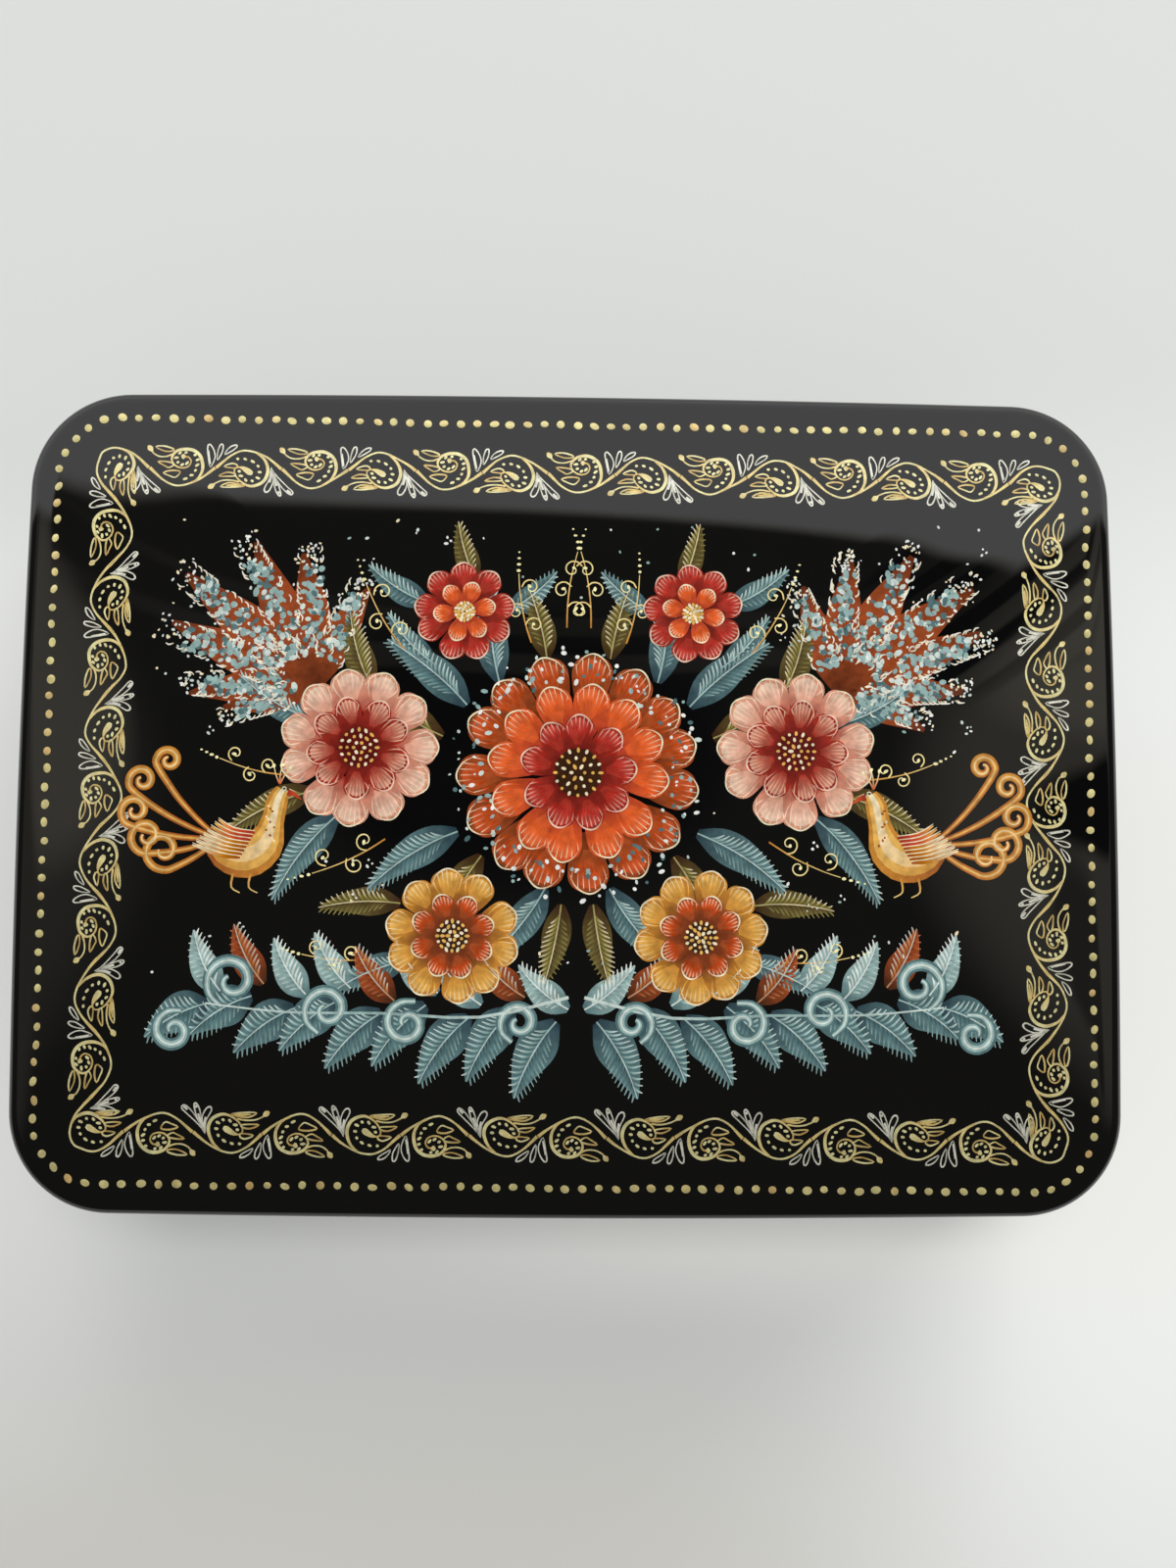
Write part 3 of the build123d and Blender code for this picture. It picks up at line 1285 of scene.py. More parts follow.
@dataclass(frozen=True)
class Brush:
    """How a brush lays paint: thin, with hard edges, on whatever ground is under it."""

    film: float = 0.015 * MM
    sink: float = 0.02 * MM
    ray_height: float = 0.2
    wobble: float = 0.1 * MM
    wobble_scale: float = 260.0
    underside: float = -1e-7

    def ground_height(self, sketch: NodeSketch, ground: NodeSocket) -> NodeSocket:
        """Finds how high the ground is at each point's place.

        Args:
            sketch: The tree's sketch.
            ground: The ground's object.

        Returns:
            The height.
        """
        above = sketch.vectors("MULTIPLY_ADD", sketch.here(), (1, 1, 0), (0, 0, self.ray_height))
        ray = {"Target Geometry": sketch.form(ground), "Source Position": above, "Ray Direction": (0, 0, -1)}
        ray["Ray Length"] = 2 * self.ray_height
        return sketch.parts(sketch.add("GeometryNodeRaycast", ray).outputs["Hit Position"])[2]

    def shaken(self, sketch: NodeSketch, edges: NodeSocket) -> NodeSocket:
        """Moves edges a little, as an unruled hand does.

        Args:
            sketch: The tree's sketch.
            edges: The edges.

        Returns:
            The moved edges.
        """
        noise = {"Vector": sketch.here(), "Scale": self.wobble_scale, "Detail": 1.0}
        drift = sketch.add("ShaderNodeTexNoise", noise, noise_dimensions="3D").outputs["Color"]
        level = 4 * self.wobble
        centred = sketch.vectors("SUBTRACT", drift, (0.5, 0.5, 0.5))
        return sketch.moved(edges, Offset=sketch.vectors("MULTIPLY", centred, (level, level, 0)))

    def sweep(self, sketch: NodeSketch, edges: NodeSocket, sockets: dict[str, NodeSocket]) -> NodeSocket:
        """Turns edges into strokes of paint.

        Args:
            sketch: The tree's sketch.
            edges: Edges that carry half width, pigment and lift.
            sockets: The tree's inputs Ground, Sides and Smoothness.

        Returns:
            The strokes.
        """
        curve = sketch.out("GeometryNodeMeshToCurve", {"Mesh": self.shaken(sketch, edges)})
        curve = sketch.out("GeometryNodeCurveSplineType", {"Curve": curve}, spline_type="CATMULL_ROM")
        fine = {"Geometry": curve, "Resolution": sockets["Smoothness"]}
        curve = sketch.out("GeometryNodeSetSplineResolution", fine)
        curve = sketch.out("GeometryNodeSetCurveNormal", {"Curve": curve}, mode="Z_UP")
        tip = {"Resolution": sockets["Sides"], "Radius": 1.0}
        circle = sketch.out("GeometryNodeCurvePrimitiveCircle", tip, mode="RADIUS")
        width = sketch.maths("MAXIMUM", sketch.named(HALF_WIDTH), 0.0)
        swept = {"Curve": curve, "Profile Curve": circle, "Scale": width, "Fill Caps": True}
        solid = sketch.out("GeometryNodeCurveToMesh", swept)
        x, y, z = sketch.parts(sketch.here())
        rise = sketch.maths("ADD", sketch.named(LIFT), self.film + self.sink)
        top = sketch.maths("GREATER_THAN", z, self.underside)
        lift = sketch.maths("MULTIPLY_ADD", top, rise, -self.sink)
        height = sketch.maths("ADD", self.ground_height(sketch, sockets["Ground"]), lift)
        flat = sketch.moved(solid, Position=sketch.vector(X=x, Y=y, Z=height))
        return sketch.out("GeometryNodeSetShadeSmooth", {"Geometry": flat, "Shade Smooth": False})


@dataclass(frozen=True)
class FreeStrokes:
    """A node tree that paints the strokes of the form it starts from."""

    brush: Brush = Brush(wobble=0.03 * MM)

    def tree(self) -> NodeTree:
        """Builds the tree.

        Returns:
            The tree, with the inputs Ground, Sides, Smoothness and Material.
        """
        tree, sketch, inputs = new_tree("free strokes", **BRUSH_INPUTS)
        close_tree(sketch, self.brush.sweep(sketch, inputs["Geometry"], inputs), inputs["Material"])
        return tree


@dataclass(frozen=True)
class ScrollRun:
    """A node tree that runs loops of scroll clockwise round a frame, which is the form it starts from."""

    brush: Brush = Brush(wobble=0.13 * MM, wobble_scale=210.0)

    def tree(self) -> NodeTree:
        """Builds the tree.

        Inner, Outer and Corner are the loops, and Count is how many of them there are. The frame is
        measured in steps between loops, and Stretch is one step's length along X and along Y.

        Returns:
            The tree.
        """
        kinds = {"Inner": "Object", "Outer": "Object", "Corner": "Object", "Count": "Int"}
        kinds.update({"Stretch": "Vector", "Shift": "Vector", "Turn": "Vector", "Loop_Size": "Float"})
        tree, sketch, inputs = new_tree("scroll run", **kinds, **BRUSH_INPUTS)
        count = inputs["Count"]
        curve = sketch.out("GeometryNodeMeshToCurve", {"Mesh": inputs["Geometry"]})
        points = sketch.out("GeometryNodeResampleCurve", {"Curve": curve, "Count": count})
        full = sketch.vectors("MULTIPLY", sketch.here(), inputs["Stretch"])
        points = sketch.moved(points, Position=full)
        index = sketch.out("GeometryNodeInputIndex")
        before, after = (self._growth(sketch, index, count, step) for step in (-1, 1))
        turn = sketch.maths("ABSOLUTE", sketch.maths("SINE", sketch.maths("SUBTRACT", before, after)))
        corner = sketch.maths("GREATER_THAN", turn, 0.5)
        odd = sketch.maths("MODULO", index, 2.0)
        even = sketch.maths("SUBTRACT", sketch.maths("SUBTRACT", 1.0, odd), corner)
        joined = sketch.add("GeometryNodeJoinGeometry")
        for name, chosen in (("Inner", odd), ("Outer", even), ("Corner", corner)):
            copies = {"Points": points, "Selection": chosen, "Instance": sketch.form(inputs[name])}
            copies.update({"Rotation": sketch.vector(Z=before), "Scale": inputs["Loop_Size"]})
            sketch.feed(joined, "Geometry", sketch.out("GeometryNodeInstanceOnPoints", copies))
        real = sketch.out("GeometryNodeRealizeInstances", {"Geometry": joined.outputs[0]})
        placed = {"Geometry": real, "Translation": inputs["Shift"], "Rotation": inputs["Turn"]}
        set_down = sketch.out("GeometryNodeTransform", placed)
        close_tree(sketch, self.brush.sweep(sketch, set_down, inputs), inputs["Material"])
        return tree

    def _growth(self, sketch: NodeSketch, index: NodeSocket, count: NodeSocket, step: int) -> NodeSocket:
        """Finds the angle at which the scroll grows between a loop and its neighbour.

        Args:
            sketch: The tree's sketch.
            index: The loop's number.
            count: How many loops there are.
            step: -1 for the loop before and 1 for the loop after.

        Returns:
            The angle.
        """
        place = sketch.here()
        onward = sketch.maths("ADD", sketch.maths("ADD", index, float(step)), count)
        settings = {"Value": place, "Index": sketch.maths("MODULO", onward, count)}
        other = sketch.out("GeometryNodeFieldAtIndex", settings, data_type="FLOAT_VECTOR")
        pair = (place, other) if step < 0 else (other, place)
        x, y, _ = sketch.parts(sketch.vectors("SUBTRACT", *pair))
        return sketch.maths("ARCTAN2", y, x)


@dataclass(frozen=True)
class DotRun:
    """A node tree that sets touches of thick paint along a rounded frame, the form it starts from."""

    brush: Brush = Brush()
    tint: Colour = linear(236, 224, 158)
    second_tint: Colour = linear(228, 192, 126)
    tint_power: float = 5.0
    nudge: float = 0.13 * MM
    slants: Span = (-0.6, 0.2)
    least_size: Triple = (0.82, 0.8, 1.0)
    greatest_size: Triple = (1.12, 1.1, 1.0)
    corner_points: int = 12
    crowding_start: float = 0.144

    def tree(self) -> NodeTree:
        """Builds the tree.

        Count is how many dots there are, Radius rounds the frame's corners, and Crowding draws the dots
        together on the long sides. Touch is one dot, and Shift and Turn place the whole run.

        Returns:
            The tree.
        """
        kinds = {"Count": "Int", "Radius": "Float", "Crowding": "Float", "Shift": "Vector", "Turn": "Vector"}
        kinds.update({"Touch": "Object", "Seed": "Int", "Ground": "Object", "Material": "Material"})
        tree, sketch, inputs = new_tree("dot run", **kinds)
        curve = sketch.out("GeometryNodeMeshToCurve", {"Mesh": inputs["Geometry"]})
        rounding = {"Curve": curve, "Radius": inputs["Radius"], "Count": self.corner_points}
        rounding["Limit Radius"] = True
        curve = sketch.out("GeometryNodeFilletCurve", rounding, mode="POLY")
        share = sketch.maths("DIVIDE", sketch.out("GeometryNodeInputIndex"), inputs["Count"])
        phase = sketch.maths("SUBTRACT", share, self.crowding_start)
        wave = sketch.maths("SINE", sketch.maths("MULTIPLY", phase, 4 * math.pi))
        drawn = sketch.maths("SUBTRACT", share, sketch.maths("MULTIPLY", wave, inputs["Crowding"]))
        sample = {"Curves": curve, "Factor": sketch.maths("FRACT", drawn)}
        spot = sketch.add("GeometryNodeSampleCurve", sample, mode="FACTOR").outputs
        row = sketch.out("GeometryNodeMeshLine", {"Count": inputs["Count"]})
        row = sketch.moved(row, Position=spot["Position"])
        x, y, _ = sketch.parts(spot["Tangent"])
        kept = {"Geometry": row, "Value": sketch.maths("ARCTAN2", y, x), "Name": "along"}
        row = sketch.out("GeometryNodeStoreNamedAttribute", kept, data_type="FLOAT", domain="POINT")
        seed, most = inputs["Seed"], self.nudge
        nudge = self._random(sketch, seed, (-most, -most, 0), (most, most, 0))
        placed = {"Geometry": sketch.moved(row, Offset=nudge), "Translation": inputs["Shift"]}
        row = sketch.out("GeometryNodeTransform", {**placed, "Rotation": inputs["Turn"]})
        slant = self._random(sketch, seed, (0, 0, self.slants[0]), (0, 0, self.slants[1]))
        turn = sketch.vectors("ADD", sketch.vector(Z=sketch.named("along")), slant)
        copies = {"Points": row, "Rotation": turn, "Instance": sketch.form(inputs["Touch"])}
        copies["Scale"] = self._random(sketch, seed, self.least_size, self.greatest_size)
        draw = sketch.parts(self._random(sketch, seed, (0, 0, 0), (1, 1, 1)))[0]
        tint = sketch.mix(self.tint, self.second_tint, sketch.maths("POWER", draw, self.tint_power))
        own = {"Geometry": sketch.out("GeometryNodeInstanceOnPoints", copies), "Value": tint, "Name": PIGMENT}
        row = sketch.out("GeometryNodeStoreNamedAttribute", own, data_type="FLOAT_COLOR", domain="INSTANCE")
        real = sketch.out("GeometryNodeRealizeInstances", {"Geometry": row})
        lifted = sketch.vector(Z=self.brush.ground_height(sketch, inputs["Ground"]))
        close_tree(sketch, sketch.moved(real, Offset=lifted), inputs["Material"])
        return tree

    def _random(self, sketch: NodeSketch, seed: NodeSocket, low: Triple, high: Triple) -> NodeSocket:
        """Draws a random vector for each dot, another one each time it is called.

        Args:
            sketch: The tree's sketch.
            seed: The run's seed.
            low: The least vector.
            high: The greatest vector.

        Returns:
            The vector.
        """
        salt = float(len(sketch.tree.nodes))
        settings = {"Min": low, "Max": high, "Seed": sketch.maths("ADD", seed, salt)}
        return sketch.out("FunctionNodeRandomValue", settings, data_type="FLOAT_VECTOR")


GOLD = linear(242, 214, 138)
GOLD_PALE = linear(253, 244, 184)
GOLD_DULL = linear(212, 176, 104)
SILVER = linear(250, 249, 232)
SILVER_DULL = linear(206, 205, 190)


@dataclass(frozen=True)
class Curl:
    """How one kind of loop curls: its branch, heart, leaves, drop and ticks."""

    branch: Path
    heart: Path
    leaves: tuple[Path, ...]
    tail: Path
    drop: Path
    ticks: Path


OUTER_CURL = Curl(
    branch=((1.84, 1.25), (2.38, 0.1), (2.36, -0.9), (1.84, -1.8), (0.75, -2.3), (-0.2, -2.2), (-1.1, -1.65),
            (-1.75, -0.9), (-1.9, -0.25), (-1.6, 0.12), (-0.95, 0.15)),
    heart=((-1.3, 0.14), (-0.85, 0.06), (-0.35, -0.2), (0.15, -0.52), (0.5, -0.68)),
    leaves=(
        ((-1.55, 0.1), (-1.65, 0.5), (-2.3, 0.66), (-3.25, 0.22), (-2.2, 0.05)),
        ((-1.8, -1.0), (-1.9, -0.68), (-2.9, -0.58), (-3.9, -1.1), (-2.9, -1.12)),
        ((-0.5, -2.35), (-1.3, -2.1), (-2.6, -2.02), (-3.6, -2.58), (-2.1, -2.6)),
    ),
    tail=((-1.2, -1.78), (-2.3, -1.62), (-3.4, -1.72), (-4.3, -2.08), (-4.75, -2.4)),
    drop=((-4.4, -2.2), (-4.85, -2.5), (-5.25, -2.72)),
    ticks=((-1.5, 1.3), (-0.5, 1.3), (0.45, 0.95), (1.15, 0.3), (1.4, -0.5), (1.2, -1.25), (0.5, -1.62),
           (-0.35, -1.52), (-1.0, -1.0), (-1.25, -0.4)),
)
INNER_CURL = Curl(
    branch=((1.9, 1.6), (2.55, 0.55), (2.62, -0.55), (2.25, -1.65), (1.4, -2.35), (0.4, -2.5), (-0.7, -2.2),
            (-1.3, -1.45), (-1.27, -0.74), (-0.72, -0.15), (0.1, 0.04), (0.85, -0.28), (1.1, -0.95),
            (0.75, -1.45), (0.25, -1.5)),
    heart=((0.45, -1.5), (0.15, -1.5), (-0.1, -1.4)),
    leaves=(
        ((-1.2, -2.2), (-1.3, -2.5), (-2.5, -2.82), (-3.6, -2.72), (-2.3, -2.15)),
        ((-1.1, -0.35), (-1.3, -0.62), (-2.2, -0.8), (-3.25, -0.78), (-2.3, -0.22), (-1.75, 0.0)),
        ((-0.3, 0.8), (-0.4, 0.48), (-1.45, 0.4), (-2.45, 0.72), (-1.6, 1.15), (-0.85, 1.35)),
    ),
    tail=((-1.2, -1.8), (-2.0, -1.5), (-3.0, -1.48), (-3.8, -1.85), (-4.2, -2.35)),
    drop=((-4.0, -2.1), (-4.3, -2.5), (-4.6, -2.85)),
    ticks=((1.6, -1.75), (1.95, -1.1), (1.92, -0.4), (1.7, 0.3), (1.25, 0.95), (0.5, 1.5), (0.45, -2.05),
           (-0.3, -1.95), (-0.75, -1.3), (-0.55, -0.7), (0.0, -0.4), (0.6, -0.65)),
)


@dataclass(frozen=True)
class ScrollMotif:
    """The strokes of one loop of the scroll.

    The loop's centre is the origin, X is the way in which the scroll grows, and Y points out of the frame.
    An inner loop is drawn as an outer one would be, and then turned over.
    """

    kind: Loop
    fine: float = 0.09
    line: float = 0.12
    thick: float = 0.21
    silver_line: float = 0.075

    @property
    def curl(self) -> Curl:
        """The curl of this kind of loop."""
        return INNER_CURL if self.kind is Loop.INNER else OUTER_CURL

    def gold(self) -> list[Stroke]:
        """Draws the stem, the branch that curls back, what grows from it, and the ticks in it.

        Returns:
            The gold strokes.
        """
        stem = ((-4.28, 0), (-3.4, 0.85), (-2.4, 1.72), (-1.2, 2.35), (-0.2, 2.46), (0.92, 2.16))
        end = ((2.2, 1.52), (3.4, 0.72), (4.28, 0))
        if self.kind is Loop.CORNER:
            end = ((1.9, 1.7), (2.45, 0.7), (2.5, -0.4), (2.0, -1.9), (1.2, -3.0), (0.55, -3.7), (0, -4.28))
        curl, wide, thin, fine = self.curl, self.thick, self.line, self.fine
        branch = curl.branch[2:] if self.kind is Loop.CORNER else ((0.92, 2.12), *curl.branch)
        tints = (GOLD, GOLD_PALE, GOLD_DULL)
        strokes = [
            Stroke(stem + end, (wide, thin, thin, thin, wide), (GOLD, GOLD_PALE, GOLD)),
            Stroke(branch, (thin, wide, wide, thin, fine, thin), (GOLD, GOLD_PALE, GOLD, GOLD_DULL), 0.003),
            Stroke(curl.heart, (0.08, 0.22, 0.34, 0.38, 0.2), (GOLD, GOLD_PALE), 0.006),
            Stroke(curl.tail, (thin, fine, fine, thin), tints, 0.002),
            Stroke(curl.drop, (0.08, 0.36, 0.12), (GOLD_PALE, GOLD), 0.007),
        ]
        for order, leaf in enumerate(curl.leaves):
            order_tints = tints[order:] + tints[:order]
            strokes.append(Stroke(leaf, (fine, thin, fine, fine), order_tints, 0.005, True))
        if self.kind is not Loop.INNER:
            spur = ((-0.9, -2.32), (-1.8, -2.3), (-2.9, -2.4))
            strokes.append(Stroke(spur, (0.12, 0.18, 0.06), (GOLD,), 0.004))
        for order, place in enumerate(curl.ticks):
            tick = dash(place, 0.2 + 0.05 * (order % 3), math.radians(-8 - 14 * (order % 4)))
            strokes.append(Stroke(tick, (0.09, 0.175, 0.1), (GOLD_PALE, GOLD_PALE), 0.008))
        if self.kind is Loop.INNER:
            return [stroke.moved(lambda place: (place[0], -place[1])) for stroke in strokes]
        return strokes

    def silver(self) -> list[Stroke]:
        """Draws the petals and the fan, which an inner loop hasn't.

        Returns:
            The silver strokes.
        """
        if self.kind is Loop.INNER:
            return []
        petals = (
            ((-5.05, 0.1), (-5.4, 1.6), (-5.55, 2.9), (-5.2, 3.1), (-4.65, 2.3), (-4.5, 1.3)),
            ((-4.2, 1.1), (-4.15, 2.2), (-3.82, 3.1), (-3.45, 3.1), (-3.5, 2.3), (-3.9, 1.45)),
            ((-3.2, 1.85), (-2.85, 2.5), (-2.2, 3.0), (-1.6, 3.1), (-1.75, 2.7), (-2.5, 2.2)),
        )
        strokes = [self._petal(petal) for petal in petals]
        shine = ((-5.35, 2.3), (-5.28, 1.5), (-5.05, 0.5))
        strokes.append(Stroke(shine, (0.05, 0.13, 0.1), (SILVER,), 0.006))
        strokes += self._fan() if self.kind is Loop.OUTER else self._corner_fan()
        return strokes

    def _fan(self) -> list[Stroke]:
        """Draws three leaves that spread from the scroll towards the picture.

        Returns:
            The leaves and the strokes in them.
        """
        leaves = (
            ((2.85, 0.15), (2.7, -1.4), (2.1, -2.7), (2.3, -3.2), (2.8, -2.95), (3.2, -1.95), (3.1, -0.9)),
            ((3.0, -0.2), (3.3, -1.8), (3.7, -3.05), (4.15, -3.6), (4.3, -3.2), (3.85, -1.8), (3.3, -0.7)),
            ((3.1, -0.4), (4.1, -2.05), (5.0, -3.05), (5.65, -3.4), (5.85, -3.0), (5.1, -2.3), (3.9, -1.2)),
        )
        strokes = [self._petal(leaf) for leaf in leaves]
        fills = (
            ((2.95, -0.3), (2.9, -1.1), (2.75, -1.9)),
            ((3.2, -0.7), (3.45, -1.5), (3.75, -2.3)),
            ((4.0, -3.0), (4.1, -3.3)),
            ((5.1, -2.8), (5.45, -3.1), (5.65, -3.15)),
        )
        strokes += [Stroke(fill, (0.13, 0.15, 0.12), (SILVER, SILVER), 0.003) for fill in fills]
        return strokes

    def _corner_fan(self) -> list[Stroke]:
        """The same fan, grown along the frame's next side."""
        return [stroke.moved(lambda place: (place[1], -place[0])) for stroke in self._fan()]

    def _petal(self, points: Path) -> Stroke:
        """A silver petal drawn as a thin closed line, heavier at its tip."""
        sizes = tuple(self.silver_line * size for size in (1, 1, 1.5, 1, 1))
        return Stroke(points, sizes, (SILVER_DULL, SILVER, SILVER), 0.004, True)


@dataclass
class Border:
    """The hand-painted frame round the lid's picture: a run of dots and a run of scroll."""

    ground: Object
    gold: Material
    silver: Material
    scroll_half: Place = (59.55, 41.97)
    scroll_shift: Place = (0.7, -0.34)
    scroll_turn: float = -0.4
    scroll_steps: tuple[int, int] = (14, 10)
    stroke_sides: int = 6
    stroke_smoothness: int = 3
    loop_size: float = 0.98
    dots_half: Place = (66.05, 48.4)
    dots_shift: Place = (0.0, -0.21)
    dots_turn: float = -0.3
    dots_radius: float = 8.0
    dots_count: int = 200
    dots_crowding: float = 0.0028
    dots_seed: int = 7
    dot_stretch: Place = (1.08, 0.94)
    dot_shape: Profile = ((0.52, -0.02), (0.52, 0.012), (0.38, 0.03), (0.18, 0.038))
    dot_sides: int = 12

    def build(self) -> None:
        """Paints the border on the lid."""
        self._scroll("gold_scroll", self.gold, ScrollMotif.gold)
        self._scroll("silver_scroll", self.silver, ScrollMotif.silver)
        self._dots()

    def _run(self, name: str, size: Place, tree: NodeTree, shift: Place, turn: float,
             values: dict[str, object]) -> None:
        """Grows one run round a frame of four edges, which starts at its upper left and runs clockwise.

        Args:
            name: The piece's name.
            size: The frame's size.
            tree: The run's node tree.
            shift: How far the run stands off the lid's middle, in millimetres.
            turn: How far it is turned, in degrees.
            values: The tree's further inputs.
        """
        x, y = size[0] / 2, size[1] / 2
        corners = ((-x, y), (x, y), (x, -y), (-x, -y))
        run = Workshop.edges(name, corners, ((0, 1), (1, 2), (2, 3), (3, 0)))
        values.update({"Shift": (shift[0] * MM, shift[1] * MM, 0), "Turn": (0, 0, math.radians(turn))})
        Workshop.grow(run, tree, {**values, "Ground": self.ground})
        Workshop.hand_over(run, Body.LID)

    def _scroll(self, name: str, paint: Material, strokes: Callable[[ScrollMotif], list[Stroke]]) -> None:
        """Paints one colour of the scroll.

        Args:
            name: The piece's name.
            paint: Its paint.
            strokes: Which of a motif's strokes are in that paint.
        """
        loops = {kind: stroke_edges(f"{kind.name}_loop", strokes(ScrollMotif(kind))) for kind in Loop}
        along, down = self.scroll_steps
        values = {kind.name.title(): loop for kind, loop in loops.items()}
        values.update({"Sides": self.stroke_sides, "Smoothness": self.stroke_smoothness})
        values["Stretch"] = (2 * self.scroll_half[0] / along, 2 * self.scroll_half[1] / down, 1)
        values.update({"Count": 2 * (along + down), "Loop_Size": self.loop_size, "Material": paint})
        self._run(name, (along, down), ScrollRun().tree(), self.scroll_shift, self.scroll_turn, values)
        Workshop.discard(loops.values())

    def _dots(self) -> None:
        """Sets the run of dots along the shoulder."""
        touch = self._touch()
        size = (2 * self.dots_half[0], 2 * self.dots_half[1])
        values = {"Count": self.dots_count, "Radius": self.dots_radius * MM, "Crowding": self.dots_crowding}
        values.update({"Touch": touch, "Seed": self.dots_seed, "Material": self.gold})
        self._run("gold_dots", size, DotRun().tree(), self.dots_shift, self.dots_turn, values)
        Workshop.discard([touch])

    def _touch(self) -> Object:
        """Makes one touch of the brush: a low dome, a little longer than it is wide.

        Returns:
            The touch.
        """
        form = bmesh.new()
        long, wide = self.dot_stretch
        angles = [2 * math.pi * side / self.dot_sides for side in range(self.dot_sides)]
        rings = []
        for radius, height in self.dot_shape:
            ring = [(long * radius * math.cos(a), wide * radius * math.sin(a), height) for a in angles]
            rings.append([form.verts.new(place) for place in ring])
        for lower, upper in zip(rings, rings[1:]):
            bridge(form, lower, upper)
        form.faces.new(rings[0])
        form.faces.new(rings[-1])
        return Workshop.solid("dot", form)


RUST = linear(150, 70, 34)
DEEP_RUST = linear(96, 42, 20)
FLAME = linear(208, 86, 42)
CRIMSON = linear(156, 46, 34)
WINE = linear(90, 22, 20)
PINK = linear(214, 150, 124)
PALE_PINK = linear(236, 202, 178)
OCHRE = linear(196, 132, 52)
HONEY = linear(226, 176, 90)
CREAM = linear(240, 226, 190)
TEAL = linear(86, 116, 118)
PALE_TEAL = linear(148, 176, 172)
ICE = linear(206, 218, 210)
WHITE = linear(236, 236, 230)
OLIVE = linear(96, 84, 44)
NIGHT = linear(42, 62, 72)
BARK = linear(58, 34, 20)

BLUE_LEAF = (NIGHT, TEAL, PALE_TEAL, ICE)
PALE_LEAF = (TEAL, PALE_TEAL, ICE, WHITE)
GREEN_LEAF = (BARK, OLIVE, linear(150, 140, 80), CREAM)
BROWN_LEAF = (BARK, RUST, linear(176, 120, 80), ICE)
RUST_PETAL = (DEEP_RUST, RUST, FLAME, CREAM)
FLAME_PETAL = (CRIMSON, FLAME, linear(232, 110, 60), CREAM)
WINE_PETAL = (WINE, CRIMSON, linear(196, 70, 60), PALE_PINK)
PINK_PETAL = (CRIMSON, PINK, PALE_PINK, CREAM)
ROSE_PETAL = (WINE, CRIMSON, PINK, PALE_PINK)
HONEY_PETAL = (DEEP_RUST, OCHRE, HONEY, CREAM)
GOLD_HEART = (BARK, HONEY, CREAM)
DARK_HEART = (WINE, HONEY, CREAM)


@dataclass(frozen=True)
class Spot:
    """A place in the picture where a motif is painted, with its turn, size and side."""

    x: float
    y: float
    turn: float = 0.0
    size: float = 1.0
    side: int = 1

    def at(self, along: float, across: float) -> Place:
        """Turns a motif's own place into the picture's."""
        x, y = turned((along * self.size, across * self.size), math.radians(self.turn))
        return self.side * (self.x + x), self.y + y

    def path(self, places: Iterable[Place]) -> list[Place]:
        """Turns a motif's own path into the picture's."""
        return [self.at(*place) for place in places]

    def beside(self, along: float, across: float, turn: float, size: float = 1.0) -> "Spot":
        """A spot on the same side, at one of this spot's own places."""
        x, y = self.at(along, across)
        return Spot(self.side * x, y, turn, size, self.side)

    def curve(self, length: float, bend: float, steps: int = 6) -> list[Place]:
        """A path that starts here, runs along the spot's X and bends to one side."""
        shares = [step / (steps - 1) for step in range(steps)]
        return self.path((length * share, bend * share**2) for share in shares)

    def spiral(self, radius: float, turns: float, hand: int = 1) -> list[Place]:
        """A path that starts here and curls inwards.

        Args:
            radius: The radius that it starts with.
            turns: How many turns it makes.
            hand: 1 if it curls to the left, -1 if it curls to the right.

        Returns:
            The path.
        """
        count = max(5, int(10 * turns))
        places = []
        for step in range(count + 1):
            share = step / count
            angle = hand * (2 * math.pi * turns * share - math.pi / 2)
            reach = radius * (1 - 0.8 * share)
            places.append((reach * math.cos(angle), hand * radius + reach * math.sin(angle)))
        return self.path(places)


